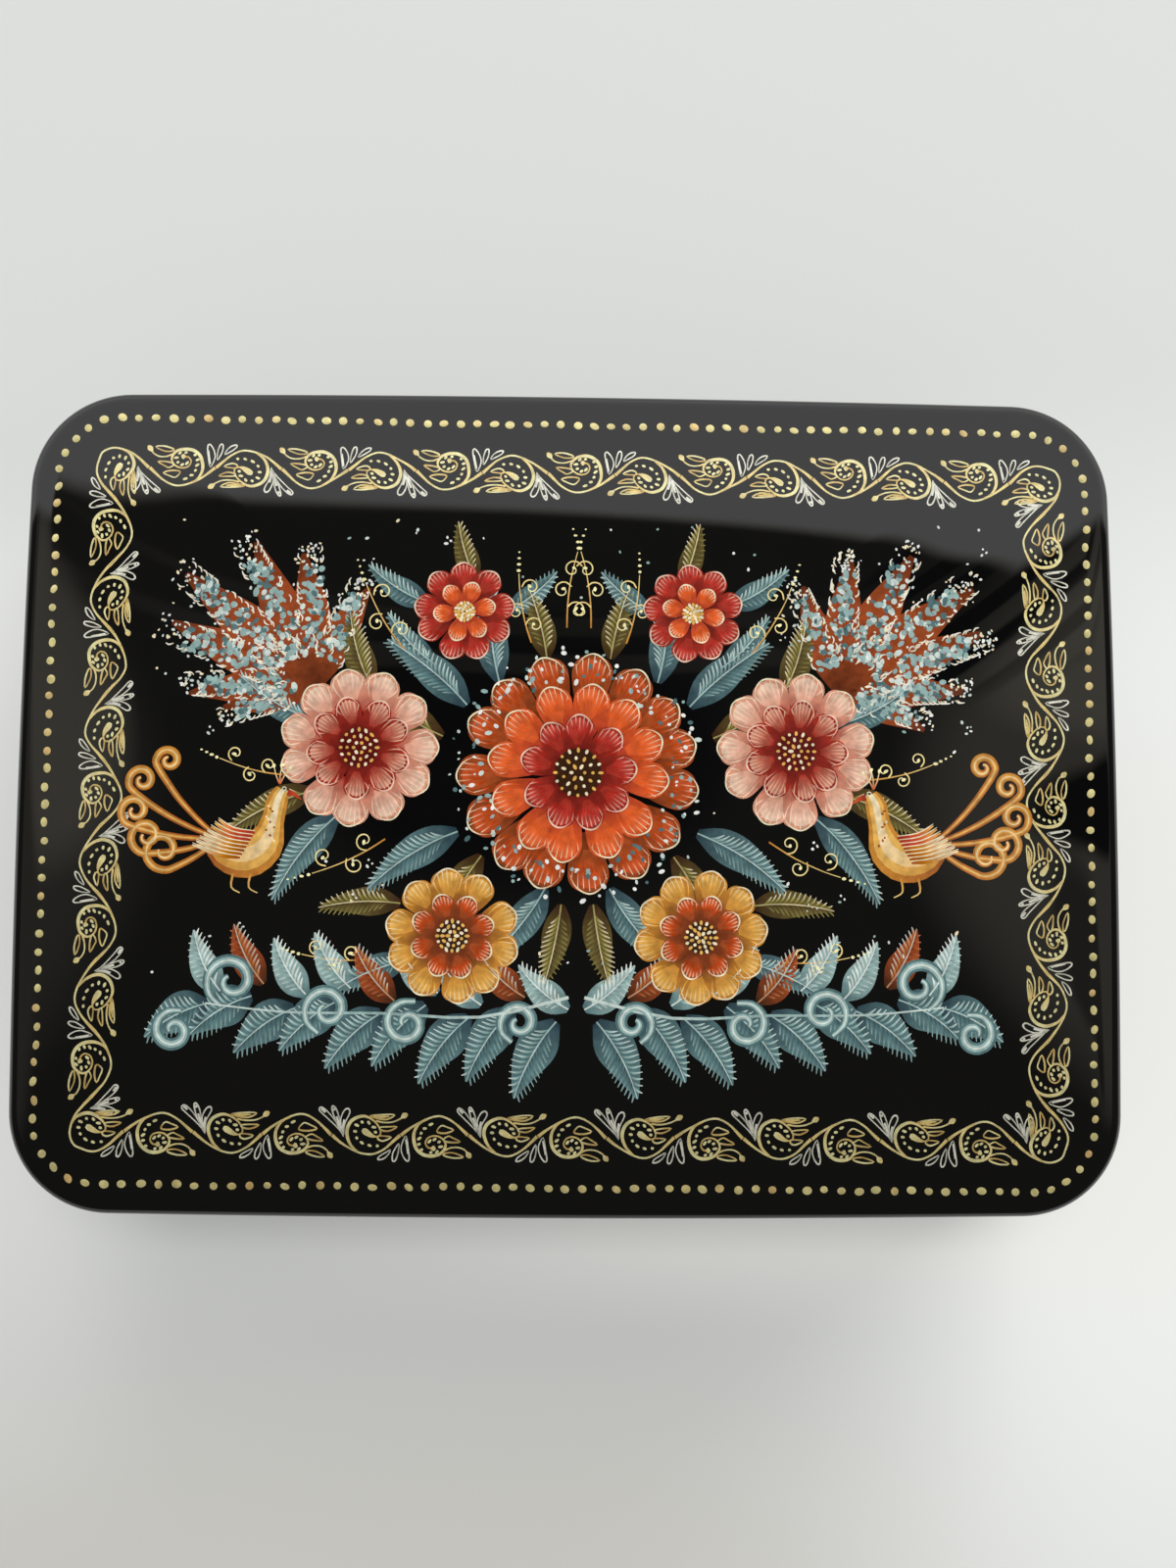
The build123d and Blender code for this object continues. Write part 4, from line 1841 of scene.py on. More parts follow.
@dataclass
class Easel:
    """Gathers the picture's strokes, and makes the random draws for them.

    The strokes of a list stand in a few orders, a hair above one another, so that no two of them that
    overlap lie at one height.
    """

    centre: Place
    seed: int
    layer_height: float = 0.006
    order_height: float = 0.0004
    orders: int = 12

    def __post_init__(self) -> None:
        """Starts the random draws and the empty lists."""
        self.random = random.Random(self.seed)
        self.fills: list[Stroke] = []
        self.lines: list[Stroke] = []
        self.specks: list[Stroke] = []

    def lay(self, strokes: list[Stroke], points: Iterable[Place], half_widths: Iterable[float],
            colours: Iterable[Colour], layer: int, size: float = 1.0) -> None:
        """Adds one stroke to the picture.

        Args:
            strokes: The list that it goes into.
            points: Its points, measured from the picture's centre.
            half_widths: Its half widths, spread over it.
            colours: Its colours, spread over it.
            layer: Which layer of paint it is in.
            size: What its half widths are multiplied by.
        """
        lift = layer * self.layer_height + len(strokes) % self.orders * self.order_height
        placed = tuple((x + self.centre[0], y + self.centre[1]) for x, y in points)
        widths = tuple(size * width for width in half_widths)
        strokes.append(Stroke(placed, widths, tuple(colours), lift))

    def ribbon(self, path: list[Place], half_widths: Iterable[float], tones: Iterable[tuple[float, Tints]],
               layer: int) -> None:
        """Lays one path three times, narrower each time: twice as a fill and then as a line."""
        for step, (size, colours) in enumerate(tones):
            self.lay(self.fills if step < 2 else self.lines, path, half_widths, colours, layer + step, size)

    def speck(self, place: Place, size: float, colour: Colour, layer: int,
              angle: float | None = None) -> None:
        """Adds one short touch of the brush's tip.

        Args:
            place: Its middle.
            size: Its half width there.
            colour: Its colour.
            layer: Which layer of paint it is in.
            angle: Its direction in radians, or None for any.
        """
        angle = self.random.uniform(0, math.pi) if angle is None else angle
        ends = dash(place, size * self.random.uniform(0.9, 1.6), angle)
        self.lay(self.specks, ends, (0.5, 1.0, 0.45), (colour,), layer, size)


@dataclass(frozen=True)
class Leaf:
    """A curved leaf with a comb of fine strokes on both sides of its vein."""

    x: float
    y: float
    turn: float
    length: float
    half: float
    bend: float
    tints: Tints
    teeth_per_mm: float = 1.3
    fewest_teeth: int = 5
    first_tooth: float = 0.12
    comb_length: float = 0.8
    tooth_reach: float = 0.13

    def paint(self, easel: Easel, side: int, layer: int = 0) -> None:
        """Paints the leaf.

        Args:
            easel: What takes the strokes.
            side: -1 for the left half and 1 for the right half.
            layer: The layer that its body is in.
        """
        dark, middle, light, pale = self.tints
        spot = Spot(self.x, self.y, self.turn, 1.0, side)
        spine = spot.curve(self.length, self.bend)
        body = (0.25, 0.85, 1.0, 0.8, 0.45, 0.05)
        easel.lay(easel.fills, spine, body, (dark, middle, middle), layer, self.half)
        teeth = max(self.fewest_teeth, int(self.length * self.teeth_per_mm))
        for tooth in range(teeth):
            share = self.first_tooth + self.comb_length * tooth / teeth
            reach = share + self.tooth_reach
            wide = self.half * math.sin(math.pi * min(1, share * 0.9 + 0.1)) * 0.9
            for hand in (-1, 1):
                root = (self.length * share, self.bend * share**2)
                tip = (self.length * reach, self.bend * reach**2 + hand * wide)
                half_way = ((root[0] + tip[0]) / 2 + 0.1, (root[1] + tip[1]) / 2 - hand * wide * 0.12)
                path = spot.path((root, half_way, tip))
                shades = (middle, light, pale) if hand > 0 else (dark, middle, light)
                easel.lay(easel.lines, path, (0.05, 0.15, 0.14, 0.04), shades, layer + 1)
        easel.lay(easel.lines, spine, (0.1, 0.09, 0.03), (light, pale), layer + 2)


@dataclass(frozen=True)
class Ring:
    """One ring of petals, each with a deep body, a lighter middle, fine veins and a pale rim."""

    count: int
    inner: float
    outer: float
    half: float
    tints: Tints
    veins: int = 7
    vein_spread: float = 1.7
    vein_fall: float = 0.28

    def paint(self, easel: Easel, spot: Spot, angle: float, layer: int) -> None:
        """Paints one petal.

        Args:
            easel: What takes the strokes.
            spot: The blossom's place.
            angle: The petal's direction.
            layer: The layer that its body is in.
        """
        deep, base, light, edge = self.tints
        half = self.half * spot.size

        def path(*places: Place) -> list[Place]:
            """Places a path whose X runs from 0 at the root to 1 at the tip, and Y from -1 to 1."""
            own = ((self.inner + x * (self.outer - self.inner), y * self.half) for x, y in places)
            return spot.path(turned(place, angle) for place in own)

        spine = path((0, 0), (0.35, 0), (0.7, 0), (0.9, 0), (1, 0))
        easel.lay(easel.fills, spine, (0.4, 0.8, 1.0, 0.8, 0.35), (deep, base, base), layer, half)
        middle = path((0.3, 0.08), (0.6, 0.08), (0.82, 0.08), (0.94, 0.08))
        easel.lay(easel.fills, middle, (0.2, 0.55, 0.6, 0.2), (base, light), layer + 1, half)
        for vein in range(self.veins):
            across = (vein / (self.veins - 1) - 0.5) * self.vein_spread
            reach = 1.0 - self.vein_fall * across**2 + easel.random.uniform(-0.05, 0.03)
            start = easel.random.uniform(0.35, 0.6)
            line = path((start, across * 0.55), ((start + reach) / 2, across * 0.85), (reach, across))
            easel.lay(easel.lines, line, (0.03, 0.075, 0.1, 0.04), (base, light, edge), layer + 2)
        rim = path((0.62, -0.93), (0.86, -0.72), (1.0, -0.3), (1.03, 0.15), (0.93, 0.6), (0.72, 0.9))
        easel.lay(easel.lines, rim, (0.03, 0.09, 0.11, 0.08, 0.03), (light, edge, edge, light), layer + 2)


@dataclass(frozen=True)
class Blossom:
    """A blossom: rings of petals, the outer one first, round a heart with three circles of specks."""

    rings: tuple[Ring, ...]
    heart: Tints
    heart_share: float = 1.5
    heart_circles: tuple[tuple[float, int, float], ...] = ((0.95, 16, 0.2), (0.62, 11, 0.2), (0.28, 6, 0.22))

    def paint(self, easel: Easel, spot: Spot, layer: int = 3) -> None:
        """Paints the blossom from its outer ring inwards.

        Args:
            easel: What takes the strokes.
            spot: Its place.
            layer: The layer that it starts in.
        """
        for order, ring in enumerate(self.rings):
            offset = easel.random.uniform(0, math.pi / ring.count) + order * math.pi / ring.count
            for petal in range(ring.count):
                angle = offset + 2 * math.pi * petal / ring.count + easel.random.uniform(-0.06, 0.06)
                ring.paint(easel, spot, angle, layer + 2 * order)
        top = layer + 2 * len(self.rings) + 2
        reach = self.rings[-1].inner * self.heart_share
        disc = spot.path((share * reach, 0) for share in (-0.95, -0.5, 0, 0.5, 0.95))
        easel.lay(easel.fills, disc, (0.35, 0.88, 1.0, 0.88, 0.35), self.heart[:1], top, reach * spot.size)
        for circle, count, size in self.heart_circles:
            for index in range(count):
                angle = 2 * math.pi * index / count
                place = spot.at(*turned((circle * reach, 0), angle))
                easel.speck(place, size * spot.size, self.heart[1 + index % 2], top + 1, angle)


@dataclass(frozen=True)
class Plume:
    """A rust plume in an upper corner, thick with pale touches."""

    turn: float
    length: float
    half: float
    root: Place = (33.0, 14.5)
    touches_per_mm: float = 7.0
    flicks_per_mm: float = 1.6

    def paint(self, easel: Easel, side: int) -> None:
        """Paints the plume: its body, then its touches, then the flicks along its edges.

        Args:
            easel: What takes the strokes.
            side: -1 for the left half and 1 for the right half.
        """
        uniform, choice = easel.random.uniform, easel.random.choice
        spot = Spot(*self.root, self.turn, 1.0, side)
        spine = spot.curve(self.length, uniform(-1.5, 1.5))
        body = (0.35, 0.75, 1.0, 0.85, 0.5, 0.12)
        easel.lay(easel.fills, spine, body, (DEEP_RUST, RUST, RUST, DEEP_RUST), 0, self.half)
        for _ in range(int(self.length * self.touches_per_mm)):
            along = uniform(0.15, 1.1) ** 0.8
            across = easel.random.gauss(0, 0.42) * (1.15 - 0.4 * along)
            place = spot.at(along * self.length, across * self.half)
            edge = abs(across) > 0.55 or along > 0.9
            colour = choice((WHITE, ICE, CREAM) if edge else (TEAL, PALE_TEAL, PALE_TEAL, ICE))
            size = uniform(0.1, 0.19) if edge else uniform(0.2, 0.42)
            easel.speck(place, size, colour, 2 if edge else 1)
        for _ in range(int(self.length * self.flicks_per_mm)):
            along = uniform(0.2, 1.0)
            hand = choice((-1, 1))
            x, y = along * self.length, hand * self.half * 0.75 * (1.1 - 0.5 * along)
            flick = spot.path(((x, y), (x + 0.45, y + hand * 0.35), (x + 0.95, y + hand * 0.3)))
            easel.lay(easel.lines, flick, (0.04, 0.1, 0.04), (CREAM, WHITE), 3)


@dataclass(frozen=True)
class Bird:
    """A honey-coloured bird that looks towards the middle, with a curled tail.

    The spot is its breast, and the bird faces along the spot's own left.
    """

    easel: Easel
    spot: Spot
    tail: tuple[tuple[float, float, float], ...] = (
        (18, 7.5, 3.0), (38, 9.5, 2.6), (58, 11.5, 2.3), (78, 12.5, 2.1), (98, 12.0, 1.9)
    )
    tail_tones: tuple[tuple[float, Tints], ...] = (
        (0.5, (RUST, OCHRE, RUST)), (0.26, (OCHRE, HONEY)), (0.08, (HONEY, CREAM))
    )
    body: Path = ((5.0, 1.0), (2.8, -1.2), (0, -1.6), (-2.4, -0.2), (-3.4, 2.6), (-3.9, 5.2), (-4.6, 6.6))
    body_half_widths: tuple[float, ...] = (0.5, 2.0, 2.9, 2.5, 1.45, 1.35, 0.9)
    body_tones: tuple[tuple[float, Tints], ...] = (
        (1.0, (RUST, OCHRE, OCHRE)), (0.68, (OCHRE, HONEY, HONEY)), (0.3, (HONEY, CREAM))
    )
    feathers: int = 8
    red_feathers: int = 3
    breast_specks: int = 14
    beak: Path = ((-5.2, 6.3), (-6.1, 6.0), (-6.9, 5.4))
    eye: Place = (-4.75, 6.75)
    crown: Place = (-4.2, 7.3)
    leg_places: Place = (-0.8, 1.4)

    def paint(self) -> None:
        """Paints the bird, the tail first."""
        self._tail()
        self._body()
        self._wing()
        self._head()
        self._legs()

    def _tail(self) -> None:
        """Paints the tail's feathers, which curl at their ends."""
        for turn, length, radius in self.tail:
            root = self.spot.beside(3.2, 0.5, turn - 62)
            end = root.beside(length, length * 0.22, turn - 30)
            feather = root.curve(length, length * 0.22)[:-1] + end.spiral(radius * 0.85, 1.3)
            self.easel.ribbon(feather, (0.6, 1.0, 1.0, 0.5), self.tail_tones, 2)

    def _body(self) -> None:
        """Paints the body, neck and head in three tones."""
        for step, (size, colours) in enumerate(self.body_tones):
            body = self.spot.path(self.body)
            self.easel.lay(self.easel.fills, body, self.body_half_widths, colours, 3 + step, size)

    def _wing(self) -> None:
        """Paints the wing, feather by feather, and the specks on the breast."""
        easel, spot = self.easel, self.spot
        for feather in range(self.feathers):
            x, y = -1.2 + 0.25 * feather, 1.2 - 0.45 * feather
            path = ((x, y), (x + 2.6, y + 0.4), (x + 4.6 + 0.2 * feather, y + 1.6))
            vane = (CRIMSON, FLAME, HONEY) if feather < self.red_feathers else (RUST, OCHRE, CREAM)
            easel.lay(easel.fills, spot.path(path), (0.12, 0.42, 0.3, 0.08), vane, 6)
            edge = spot.path((along, across + 0.25) for along, across in path)
            easel.lay(easel.lines, edge, (0.04, 0.08, 0.04), (CREAM,), 7)
        for index in range(self.breast_specks):
            place = spot.at(-3.6 + 0.25 * (index % 5), 0.2 + 0.42 * index * 0.8)
            easel.speck(place, 0.13, easel.random.choice((CREAM, RUST)), 6)

    def _head(self) -> None:
        """Paints the beak, the eye and the crest."""
        easel, spot = self.easel, self.spot
        easel.lay(easel.fills, spot.path(self.beak), (0.42, 0.26, 0.03), (CRIMSON, FLAME), 6)
        easel.speck(spot.at(*self.eye), 0.3, CREAM, 6, 0)
        easel.speck(spot.at(*self.eye), 0.15, BARK, 7, 0)
        for turn in (60, 85, 110):
            crest = spot.beside(*self.crown, turn).curve(2.4, 0.5, 3)
            easel.lay(easel.lines, crest, (0.12, 0.08, 0.05), (FLAME, GOLD_PALE), 6)
            easel.speck(crest[-1], 0.2, GOLD_PALE, 7)

    def _legs(self) -> None:
        """Paints the two legs."""
        for x in self.leg_places:
            leg = self.spot.path(((x, -3.9), (x + 0.2, -5.6), (x - 0.9, -6.3)))
            self.easel.lay(self.easel.lines, leg, (0.16, 0.1, 0.06), (OCHRE, GOLD), 5)


GREAT_BLOSSOM = Blossom((
    Ring(15, 7.5, 15.0, 2.6, RUST_PETAL),
    Ring(12, 4.6, 11.2, 2.3, FLAME_PETAL),
    Ring(9, 2.0, 7.2, 1.9, WINE_PETAL),
), GOLD_HEART)
SIDE_BLOSSOM = Blossom((Ring(11, 4.0, 9.8, 2.3, PINK_PETAL), Ring(9, 1.6, 6.4, 1.7, ROSE_PETAL)), DARK_HEART)
LOW_BLOSSOM = Blossom((Ring(10, 3.2, 8.2, 2.1, HONEY_PETAL), Ring(8, 1.3, 5.2, 1.5, RUST_PETAL)), GOLD_HEART)
SMALL_BLOSSOM = Blossom((Ring(9, 2.0, 6.2, 1.7, WINE_PETAL), Ring(6, 0.8, 3.8, 1.2, FLAME_PETAL)), GOLD_HEART)
BLOSSOMS = ((SMALL_BLOSSOM, 14.5, 24.0), (SIDE_BLOSSOM, 27.5, 6.5), (LOW_BLOSSOM, 15.5, -17.0))
PLUMES = (
    Plume(112, 14, 2.3), Plume(86, 17, 2.6), Plume(62, 20, 2.9), Plume(40, 22, 3.0), Plume(20, 20, 2.8),
    Plume(0, 16, 2.4), Plume(-20, 12, 2.0),
)
LEAVES = (
    Leaf(14, 12, 48, 13, 2.2, -2, BLUE_LEAF), Leaf(10, 15, 75, 12, 2.0, 2, BLUE_LEAF),
    Leaf(17, 8, 22, 12, 2.1, 3, GREEN_LEAF), Leaf(15, -4, -20, 13, 2.2, -3, BLUE_LEAF),
    Leaf(12, -7, -52, 11, 2.0, -2, GREEN_LEAF), Leaf(30, -2, -40, 13, 2.1, -3, BLUE_LEAF),
    Leaf(33, 1, -12, 12, 1.9, -3, GREEN_LEAF), Leaf(33, 10, 15, 11, 1.8, 3, BLUE_LEAF),
    Leaf(26, 14, 62, 10, 1.9, 2, GREEN_LEAF), Leaf(19, 25, 20, 9, 1.7, 2, BLUE_LEAF),
    Leaf(13, 28, 62, 8, 1.5, 1.5, GREEN_LEAF), Leaf(4, 18, 82, 9, 1.7, -1, GREEN_LEAF),
    Leaf(4, -11, -62, 12, 2.1, 2.5, BLUE_LEAF), Leaf(2, -13, -84, 10, 1.8, 1, GREEN_LEAF),
    Leaf(9, 24, 150, 8, 1.5, -1.5, BLUE_LEAF), Leaf(22, -13, 8, 10, 1.8, -2, GREEN_LEAF),
    Leaf(21, -20, -12, 10, 1.8, -2, BLUE_LEAF), Leaf(18, 17, 35, 9, 1.5, 2, BLUE_LEAF),
)
SPRIGS = ((6, 20, 70, 1.0), (22, 19, 50, 1.1), (37, 3, 5, 0.9), (24, -5, -35, 1.1), (26, -20, -5, 0.9),
          (1.5, 22, 88, 1.1))
BANK_CURLS = ((8, -27.5, 2.6, 1), (20, -28, 2.9, -1), (32, -26, 3.1, 1), (44, -22.5, 3.4, 1),
              (49, -29, 2.6, -1))
BANK_TONES = ((0.75, (TEAL,)), (0.42, (PALE_TEAL,)), (0.14, (ICE,)))
BANK_STEM = ((1, -24.5), (12, -27.0), (24, -26.6), (36, -26.5), (46, -25.5))
CLEARINGS = ((0, 3.5, 17), (27.5, 6.5, 12), (15.5, -17, 10), (14.5, 24, 8), (41, -5, 10), (42, 24, 12))


@dataclass
class Picture:
    """A generic bouquet in the middle of the lid: blossoms, plumes, curled leaves and two birds."""

    ground: Object
    paint: Material
    centre: Place = (0.8, -0.6)
    seed: int = 23
    middle: Spot = Spot(0, 3.5)
    bird: Place = (41.5, -5.5)
    bank_leaves: int = 9
    halo: Span = (11.5, 16.2)
    halo_step: int = 6
    halo_specks: int = 3
    snow: int = 230
    snow_across: Span = (-54, 54)
    snow_up: Span = (-22, 36)
    flakes: float = 0.25
    smoothness: int = 3

    def build(self) -> None:
        """Paints the picture on the lid."""
        easel = Easel(self.centre, self.seed)
        for side in (-1, 1):
            self._bank(easel, side)
            for motif in PLUMES + LEAVES:
                motif.paint(easel, side)
            for sprig in SPRIGS:
                self._sprig(easel, Spot(*sprig, side))
            Bird(easel, Spot(*self.bird, side=side)).paint()
        leaf_lines = len(easel.lines)
        self._blossoms(easel)
        self._snow(easel)
        tree = FreeStrokes().tree()
        for name, strokes, sides in (
            ("picture_fills", easel.fills, 8),
            ("leaf_lines", easel.lines[:leaf_lines], 4),
            ("blossom_lines", easel.lines[leaf_lines:], 4),
            ("picture_specks", easel.specks, 6),
        ):
            painted = stroke_edges(name, strokes)
            values = {"Ground": self.ground, "Sides": sides, "Smoothness": self.smoothness}
            Workshop.grow(painted, tree, {**values, "Material": self.paint})
            Workshop.hand_over(painted, Body.LID)

    def _bank(self, easel: Easel, side: int) -> None:
        """Paints the bank of curled blue leaves along the picture's lower edge.

        Args:
            easel: What takes the strokes.
            side: -1 for the left half and 1 for the right half.
        """
        for index in range(self.bank_leaves):
            x, y = 2.5 + 5.4 * index, -27.5 + 0.25 * index + 1.2 * (index % 2)
            Leaf(x, y, -48 + 4.5 * index, 10.5 - 0.25 * index, 2.5, -2.5, BLUE_LEAF).paint(easel, side)
            tints = BROWN_LEAF if index % 3 == 1 else PALE_LEAF
            Leaf(x - 1.5, y + 1.5, 26 + 3 * index, 8.0, 1.9, 2.2, tints).paint(easel, side, 1)
        for x, y, radius, hand in BANK_CURLS:
            path = Spot(x, y - radius * hand, 20, 1.0, side).spiral(radius, 1.35, hand)
            easel.ribbon(path, (0.5, 1.0, 1.0, 0.8, 0.4), BANK_TONES, 3)
        stem = Spot(0, 0, side=side).path(BANK_STEM)
        easel.lay(easel.lines, stem, (0.2, 0.16, 0.1), (ICE, PALE_TEAL, ICE), 4)

    def _sprig(self, easel: Easel, spot: Spot) -> None:
        """Paints a gold sprig with three curls and a dotted end.

        Args:
            easel: What takes the strokes.
            spot: The sprig's root and direction.
        """
        easel.lay(easel.lines, spot.curve(9.0, 1.5), (0.1, 0.08, 0.05), (OCHRE, GOLD), 2)
        for index, hand in enumerate((1, -1, 1)):
            along, across = 2.5 + 2.4 * index, 0.15 * (index + 1) ** 2
            curl = spot.beside(along, across, spot.turn + hand * 25, spot.size * 0.75)
            path = [spot.at(along, across), *curl.spiral(1.5, 1.1, hand)]
            easel.lay(easel.lines, path, (0.09, 0.08, 0.05), (GOLD, GOLD_PALE), 2)
            easel.speck(path[-1], 0.2, GOLD_PALE, 3)
        for index in range(4):
            place = spot.at(9.4 + 0.75 * index, 1.6 + 0.3 * index)
            easel.speck(place, 0.2 - 0.03 * index, GOLD_PALE, 3, 0)

    def _blossoms(self, easel: Easel) -> None:
        """Paints the seven blossoms, the largest last, with a scatter of specks round it.

        Args:
            easel: What takes the strokes.
        """
        for side in (-1, 1):
            for blossom, x, y in BLOSSOMS:
                blossom.paint(easel, Spot(x, y, side=side))
        GREAT_BLOSSOM.paint(easel, self.middle, 4)
        uniform = easel.random.uniform
        for angle in range(0, 360, self.halo_step):
            for _ in range(self.halo_specks):
                place = turned((uniform(*self.halo), 0), math.radians(angle + uniform(-3, 3)))
                colour = easel.random.choice((PALE_TEAL, ICE, WHITE, TEAL))
                easel.speck(self.middle.at(*place), uniform(0.12, 0.3), colour, 8)

    def _snow(self, easel: Easel) -> None:
        """Scatters pale touches over the black between the motifs.

        Args:
            easel: What takes the strokes.
        """
        uniform = easel.random.uniform
        for _ in range(self.snow):
            x, y = uniform(*self.snow_across), uniform(*self.snow_up)
            if any(math.hypot(abs(x) - cx, y - cy) < reach for cx, cy, reach in CLEARINGS):
                continue
            size = uniform(0.1, 0.2)
            easel.speck((x, y), size, easel.random.choice((WHITE, ICE, CREAM, PALE_TEAL)), 1)
            if easel.random.random() < self.flakes:
                easel.speck((x + 0.6, y + 0.35), size * 0.8, WHITE, 1)
                easel.speck((x + 0.15, y + 0.8), size * 0.8, WHITE, 1)


@dataclass(frozen=True)
class PaintedLightPatch:
    """A part of the table in another tone: painted light where it is brighter, painted shade where it is
    darker. It fades in from the first to the second place of each ramp.
    """

    tone: Colour
    across: Span
    down: Span
    up: Span = (-0.3, -0.2)

    def share(self, sketch: NodeSketch, x: NodeSocket, y: NodeSocket) -> NodeSocket:
        """Works out how much of the patch's tone there is.

        Args:
            sketch: The table's sketch.
            x: A place on the table along X.
            y: The same place along Y.

        Returns:
            The share of its tone there.
        """
        pairs = ((x, self.across), (y, self.down), (y, self.up))
        across, down, up = (sketch.ramp(value, *ends) for value, ends in pairs)
        return sketch.maths("MULTIPLY", sketch.maths("MULTIPLY", across, down), up)


@dataclass(frozen=True)
class Table:
    """The pale table: a large sheet with painted light that makes it brighter at the sides, and a painted
    shadow that makes it dimmer and warmer in front.
    """

    half_size: float = 2.0
    roughness: float = 0.9
    shine: float = 0.1
    pale: Colour = (0.785, 0.8, 0.777)
    painted_light_patches: tuple[PaintedLightPatch, ...] = (
        # painted light: the right side made brighter
        PaintedLightPatch((0.97, 0.985, 0.955), (0.012, 0.08), (0.075, 0.02), (-0.16, -0.055)),
        # painted shade: a broad, warm shadow in front, strongest towards the left
        PaintedLightPatch((0.68, 0.665, 0.62), (0.09, 0.0), (-0.055, -0.12)),
        # painted light: the left side made brighter, against the box's shadow
        PaintedLightPatch((0.96, 0.97, 0.94), (-0.052, -0.078), (0.058, 0.02), (-0.11, -0.04)),
        # painted light: a strip along the box's front edge, against its shadow
        PaintedLightPatch((0.97, 0.97, 0.93), (-0.06, 0.03), (0.02, 0.0), (-0.075, -0.058)),
    )

    def build(self) -> None:
        """Lays the table's top under the box."""
        half = self.half_size
        mesh = bpy.data.meshes.new("table_top")
        corners = [(-half, -half, 0), (half, -half, 0), (half, half, 0), (-half, half, 0)]
        mesh.from_pydata(corners, [], [(0, 1, 2, 3)])
        material, sketch, shader = new_material("table_paper")
        x, y, _ = sketch.parts(sketch.place())
        tone = self.pale
        # mixes the patches' painted light and painted shade into the table's colour
        for patch in self.painted_light_patches:
            tone = sketch.mix(tone, patch.tone, patch.share(sketch, x, y))
        sketch.feed(shader, "Base Color", tone)
        shader.inputs["Roughness"].default_value = self.roughness
        shader.inputs["Specular IOR Level"].default_value = self.shine
        mesh.materials.append(material)
        Workshop.place("table_top", mesh)


@dataclass(frozen=True)
class Glow:
    """A soft oval on the dome, paler or darker than the room, and cut up by streaks if it has any."""

    middle: Place
    half: Place
    level: float
    streaks: float = 0.0
    streak_slope: float = 0.55
    streak_edges: Span = (-0.3, 0.7)
    full_share: float = 0.35

    def strength(self, sketch: NodeSketch, x: NodeSocket, y: NodeSocket) -> NodeSocket:
        """Works out what the oval adds to the room's light.

        Args:
            sketch: The dome's sketch.
            x: A place on the dome along X.
            y: The same place along Y.

        Returns:
            The light that it adds there.
        """
        shares = [
            sketch.maths("POWER", sketch.maths("DIVIDE", sketch.maths("SUBTRACT", value, middle), half), 2.0)
            for value, middle, half in zip((x, y), self.middle, self.half)
        ]
        found = sketch.ramp(sketch.maths("ADD", *shares), 1.0, self.full_share, (0.0, self.level))
        if self.streaks:
            across = sketch.maths("MULTIPLY_ADD", x, -self.streak_slope, y)
            wave = sketch.maths("SINE", sketch.maths("MULTIPLY", across, self.streaks))
            found = sketch.maths("MULTIPLY", found, sketch.ramp(wave, *self.streak_edges))
        return found


@dataclass(frozen=True)
class GlossDome:
    """What the gloss shows: a pale window behind, and a dim room with a few paler places in front."""

    radius: float = 0.65
    rim: float = -0.001
    segments: tuple[int, int] = (48, 24)
    window: float = 1.37
    room: float = 0.085
    warmth: Colour = (1.0, 0.95, 0.78)
    window_edge: float = 0.262
    window_bow: float = 1.45
    window_middle: float = -0.01
    window_soft: float = 0.004
    bow_reach: float = 0.25
    darkest: float = 0.01
    glows: tuple[Glow, ...] = (
        Glow((-0.37, 0.05), (0.155, 0.21), 0.24),
        Glow((-0.285, 0.1), (0.05, 0.09), 0.48),
        Glow((0.33, 0.06), (0.14, 0.17), 0.45),
        Glow((0.33, 0.12), (0.1, 0.045), 0.38),
        Glow((0.25, 0.165), (0.1, 0.06), -0.42, 260.0),
        Glow((0.345, 0.052), (0.09, 0.026), -0.6),
        Glow((0.292, -0.02), (0.018, 0.06), -0.33),
        Glow((-0.02, 0.09), (0.15, 0.12), -0.08),
        Glow((-0.02, 0.155), (0.27, 0.009), 0.12),
        Glow((-0.02, 0.182), (0.25, 0.008), 0.08),
    )

    def build(self) -> None:
        """Builds the dome, which only reflections show."""
        form = bmesh.new()
        round_it, upwards = self.segments
        bmesh.ops.create_uvsphere(form, u_segments=round_it, v_segments=upwards, radius=self.radius)
        bmesh.ops.delete(form, geom=[v for v in form.verts if v.co.z < self.rim], context="VERTS")
        mesh = bpy.data.meshes.new("gloss_dome")
        form.to_mesh(mesh)
        form.free()
        mesh.materials.append(self._material())
        dome = Workshop.place("gloss_dome", mesh)
        dome.visible_camera = False
        dome.visible_diffuse = False
        dome.visible_shadow = False
        dome.visible_transmission = False

    def _material(self) -> Material:
        """Builds the dome's light, by the place on it.

        Returns:
            The material.
        """
        material = bpy.data.materials.new("gloss_dome")
        material.use_nodes = True
        material.cycles.emission_sampling = "NONE"
        sketch = NodeSketch(material.node_tree)
        x, y, _ = sketch.parts(sketch.place())
        aside = sketch.maths("ABSOLUTE", sketch.maths("SUBTRACT", x, self.window_middle))
        bow = sketch.maths("POWER", sketch.maths("MINIMUM", aside, self.bow_reach), 2.0)
        edge = sketch.maths("MULTIPLY_ADD", bow, -self.window_bow, self.window_edge)
        window = sketch.ramp(sketch.maths("SUBTRACT", y, edge), -self.window_soft, self.window_soft)
        level = self.room
        for glow in self.glows:
            level = sketch.maths("ADD", level, glow.strength(sketch, x, y))
        level = sketch.maths("MAXIMUM", level, self.darkest)
        level = sketch.maths("MULTIPLY", sketch.maths("SUBTRACT", 1.0, window), level)
        strength = sketch.maths("MULTIPLY_ADD", window, self.window, level)
        output = next(n for n in material.node_tree.nodes if n.type == "OUTPUT_MATERIAL")
        light = {"Color": sketch.mix(self.warmth, (1, 1, 1), window), "Strength": strength}
        sketch.feed(output, "Surface", sketch.out("ShaderNodeEmission", light))
        return material


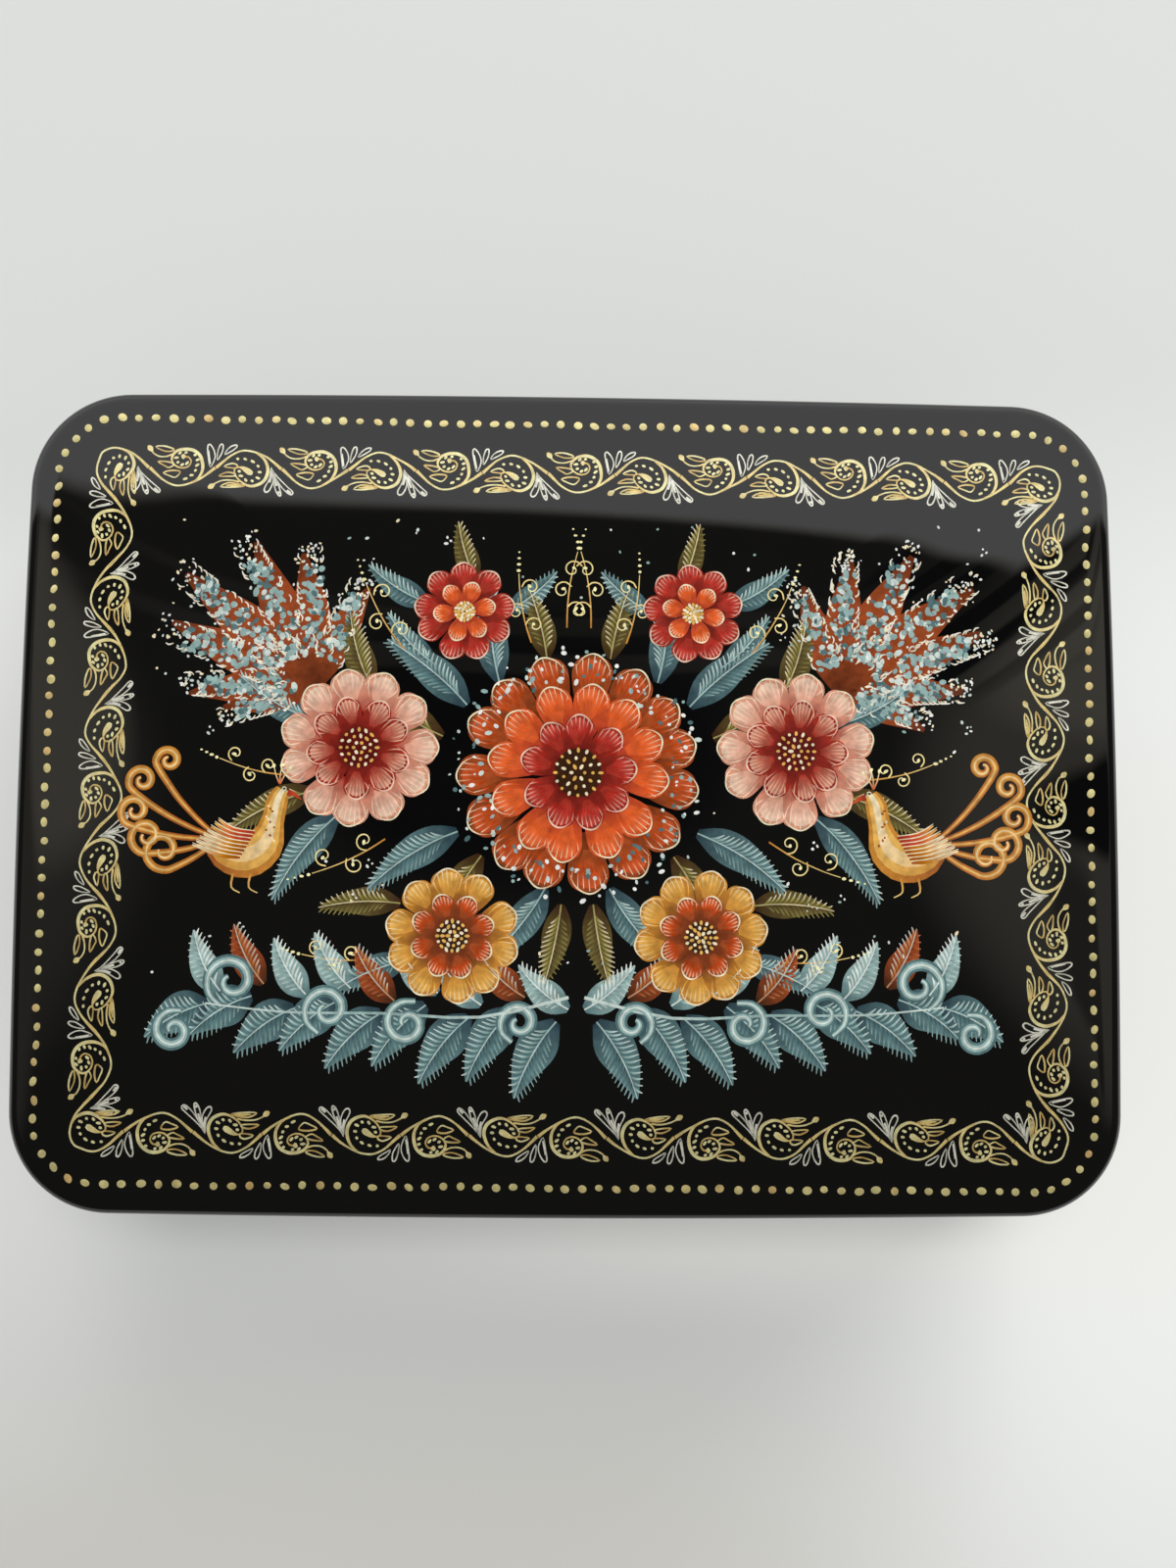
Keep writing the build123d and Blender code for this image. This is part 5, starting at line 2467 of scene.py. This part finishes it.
@dataclass(frozen=True)
class Lamp:
    """A soft square light that points at the box. Only matt surfaces show it."""

    name: str
    place: Triple
    power: float
    size: float = 0.6

    def build(self) -> None:
        """Hangs the light."""
        light = bpy.data.lights.new(self.name, "AREA")
        light.size = self.size
        light.energy = self.power
        lamp = bpy.data.objects.new(self.name, light)
        lamp.location = self.place
        lamp.rotation_euler = Vector(self.place).to_track_quat("Z", "Y").to_euler()
        lamp.visible_glossy = False
        bpy.context.scene.collection.objects.link(lamp)


@dataclass(frozen=True)
class Studio:
    """Soft light from all round, from overhead and from a window behind."""

    room_light: float = 0.324
    lamps: tuple[Lamp, ...] = (
        Lamp("overhead_light", (0.0, 0.0, 1.5), 9.9),
        Lamp("window_light", (0.68, 1.08, 0.82), 8.8, 1.1),
    )

    def build(self) -> None:
        """Builds the light, the table and the dome."""
        world = bpy.data.worlds.new("room")
        world.use_nodes = True
        background = next(n for n in world.node_tree.nodes if n.type == "BACKGROUND")
        background.inputs["Color"].default_value = (self.room_light, self.room_light, self.room_light, 1)
        bpy.context.scene.world = world
        for lamp in self.lamps:
            lamp.build()
        Table().build()
        GlossDome().build()


@dataclass(frozen=True)
class Camera:
    """The camera, at the photograph's angle: nearly straight down, from a little in front."""

    place: Triple = (-4.06, -24.2, 289.4)
    tilt: float = -6.006
    lean: float = 1.434
    roll: float = -0.36
    lens: float = 45.0
    sensor: float = 36.0
    nearest: float = 0.01

    def build(self) -> None:
        """Sets the camera up and makes it the scene's."""
        data = bpy.data.cameras.new("camera")
        data.lens = self.lens
        data.sensor_width = self.sensor
        data.clip_start = self.nearest
        camera = bpy.data.objects.new("camera", data)
        bpy.context.scene.collection.objects.link(camera)
        turns = ((self.roll, "Z"), (self.tilt, "X"), (self.lean, "Y"))
        view = Matrix.Identity(4)
        for angle, axis in turns:
            view = view @ Matrix.Rotation(math.radians(angle), 4, axis)
        camera.matrix_world = Matrix.Translation(Vector(self.place) * MM) @ view.transposed()
        bpy.context.scene.camera = camera


def main() -> None:
    """Builds the box, its stage and its camera."""
    logging.basicConfig(level=logging.INFO, format="%(name)s: %(message)s")
    sizes = BoxSizes.from_frame()
    outline = Outline(sizes.length, sizes.depth)
    black = Lacquer("black_lacquer", (0.0034, 0.0034, 0.0036), (0.0022, 0.0022, 0.0024)).material()
    red = Lacquer("red_lacquer", (0.36, 0.02, 0.012), (0.29, 0.014, 0.009)).material()
    BoxBody(sizes, outline, black, red).build()
    panel = Lid(sizes, outline, black, red).build()
    gold = BrushPaint("gold_paint", metallic=0.62, roughness=0.5).material()
    silver = BrushPaint("silver_paint", metallic=0.62, roughness=0.5).material()
    Border(panel, gold, silver).build()
    Picture(panel, BrushPaint("tempera_paint").material()).build()
    Hinge(sizes, Brass().material()).build()
    Studio().build()
    Camera().build()
    bpy.context.scene.view_settings.view_transform = "Standard"
    bpy.context.view_layer.update()


if __name__ == "__main__":
    main()
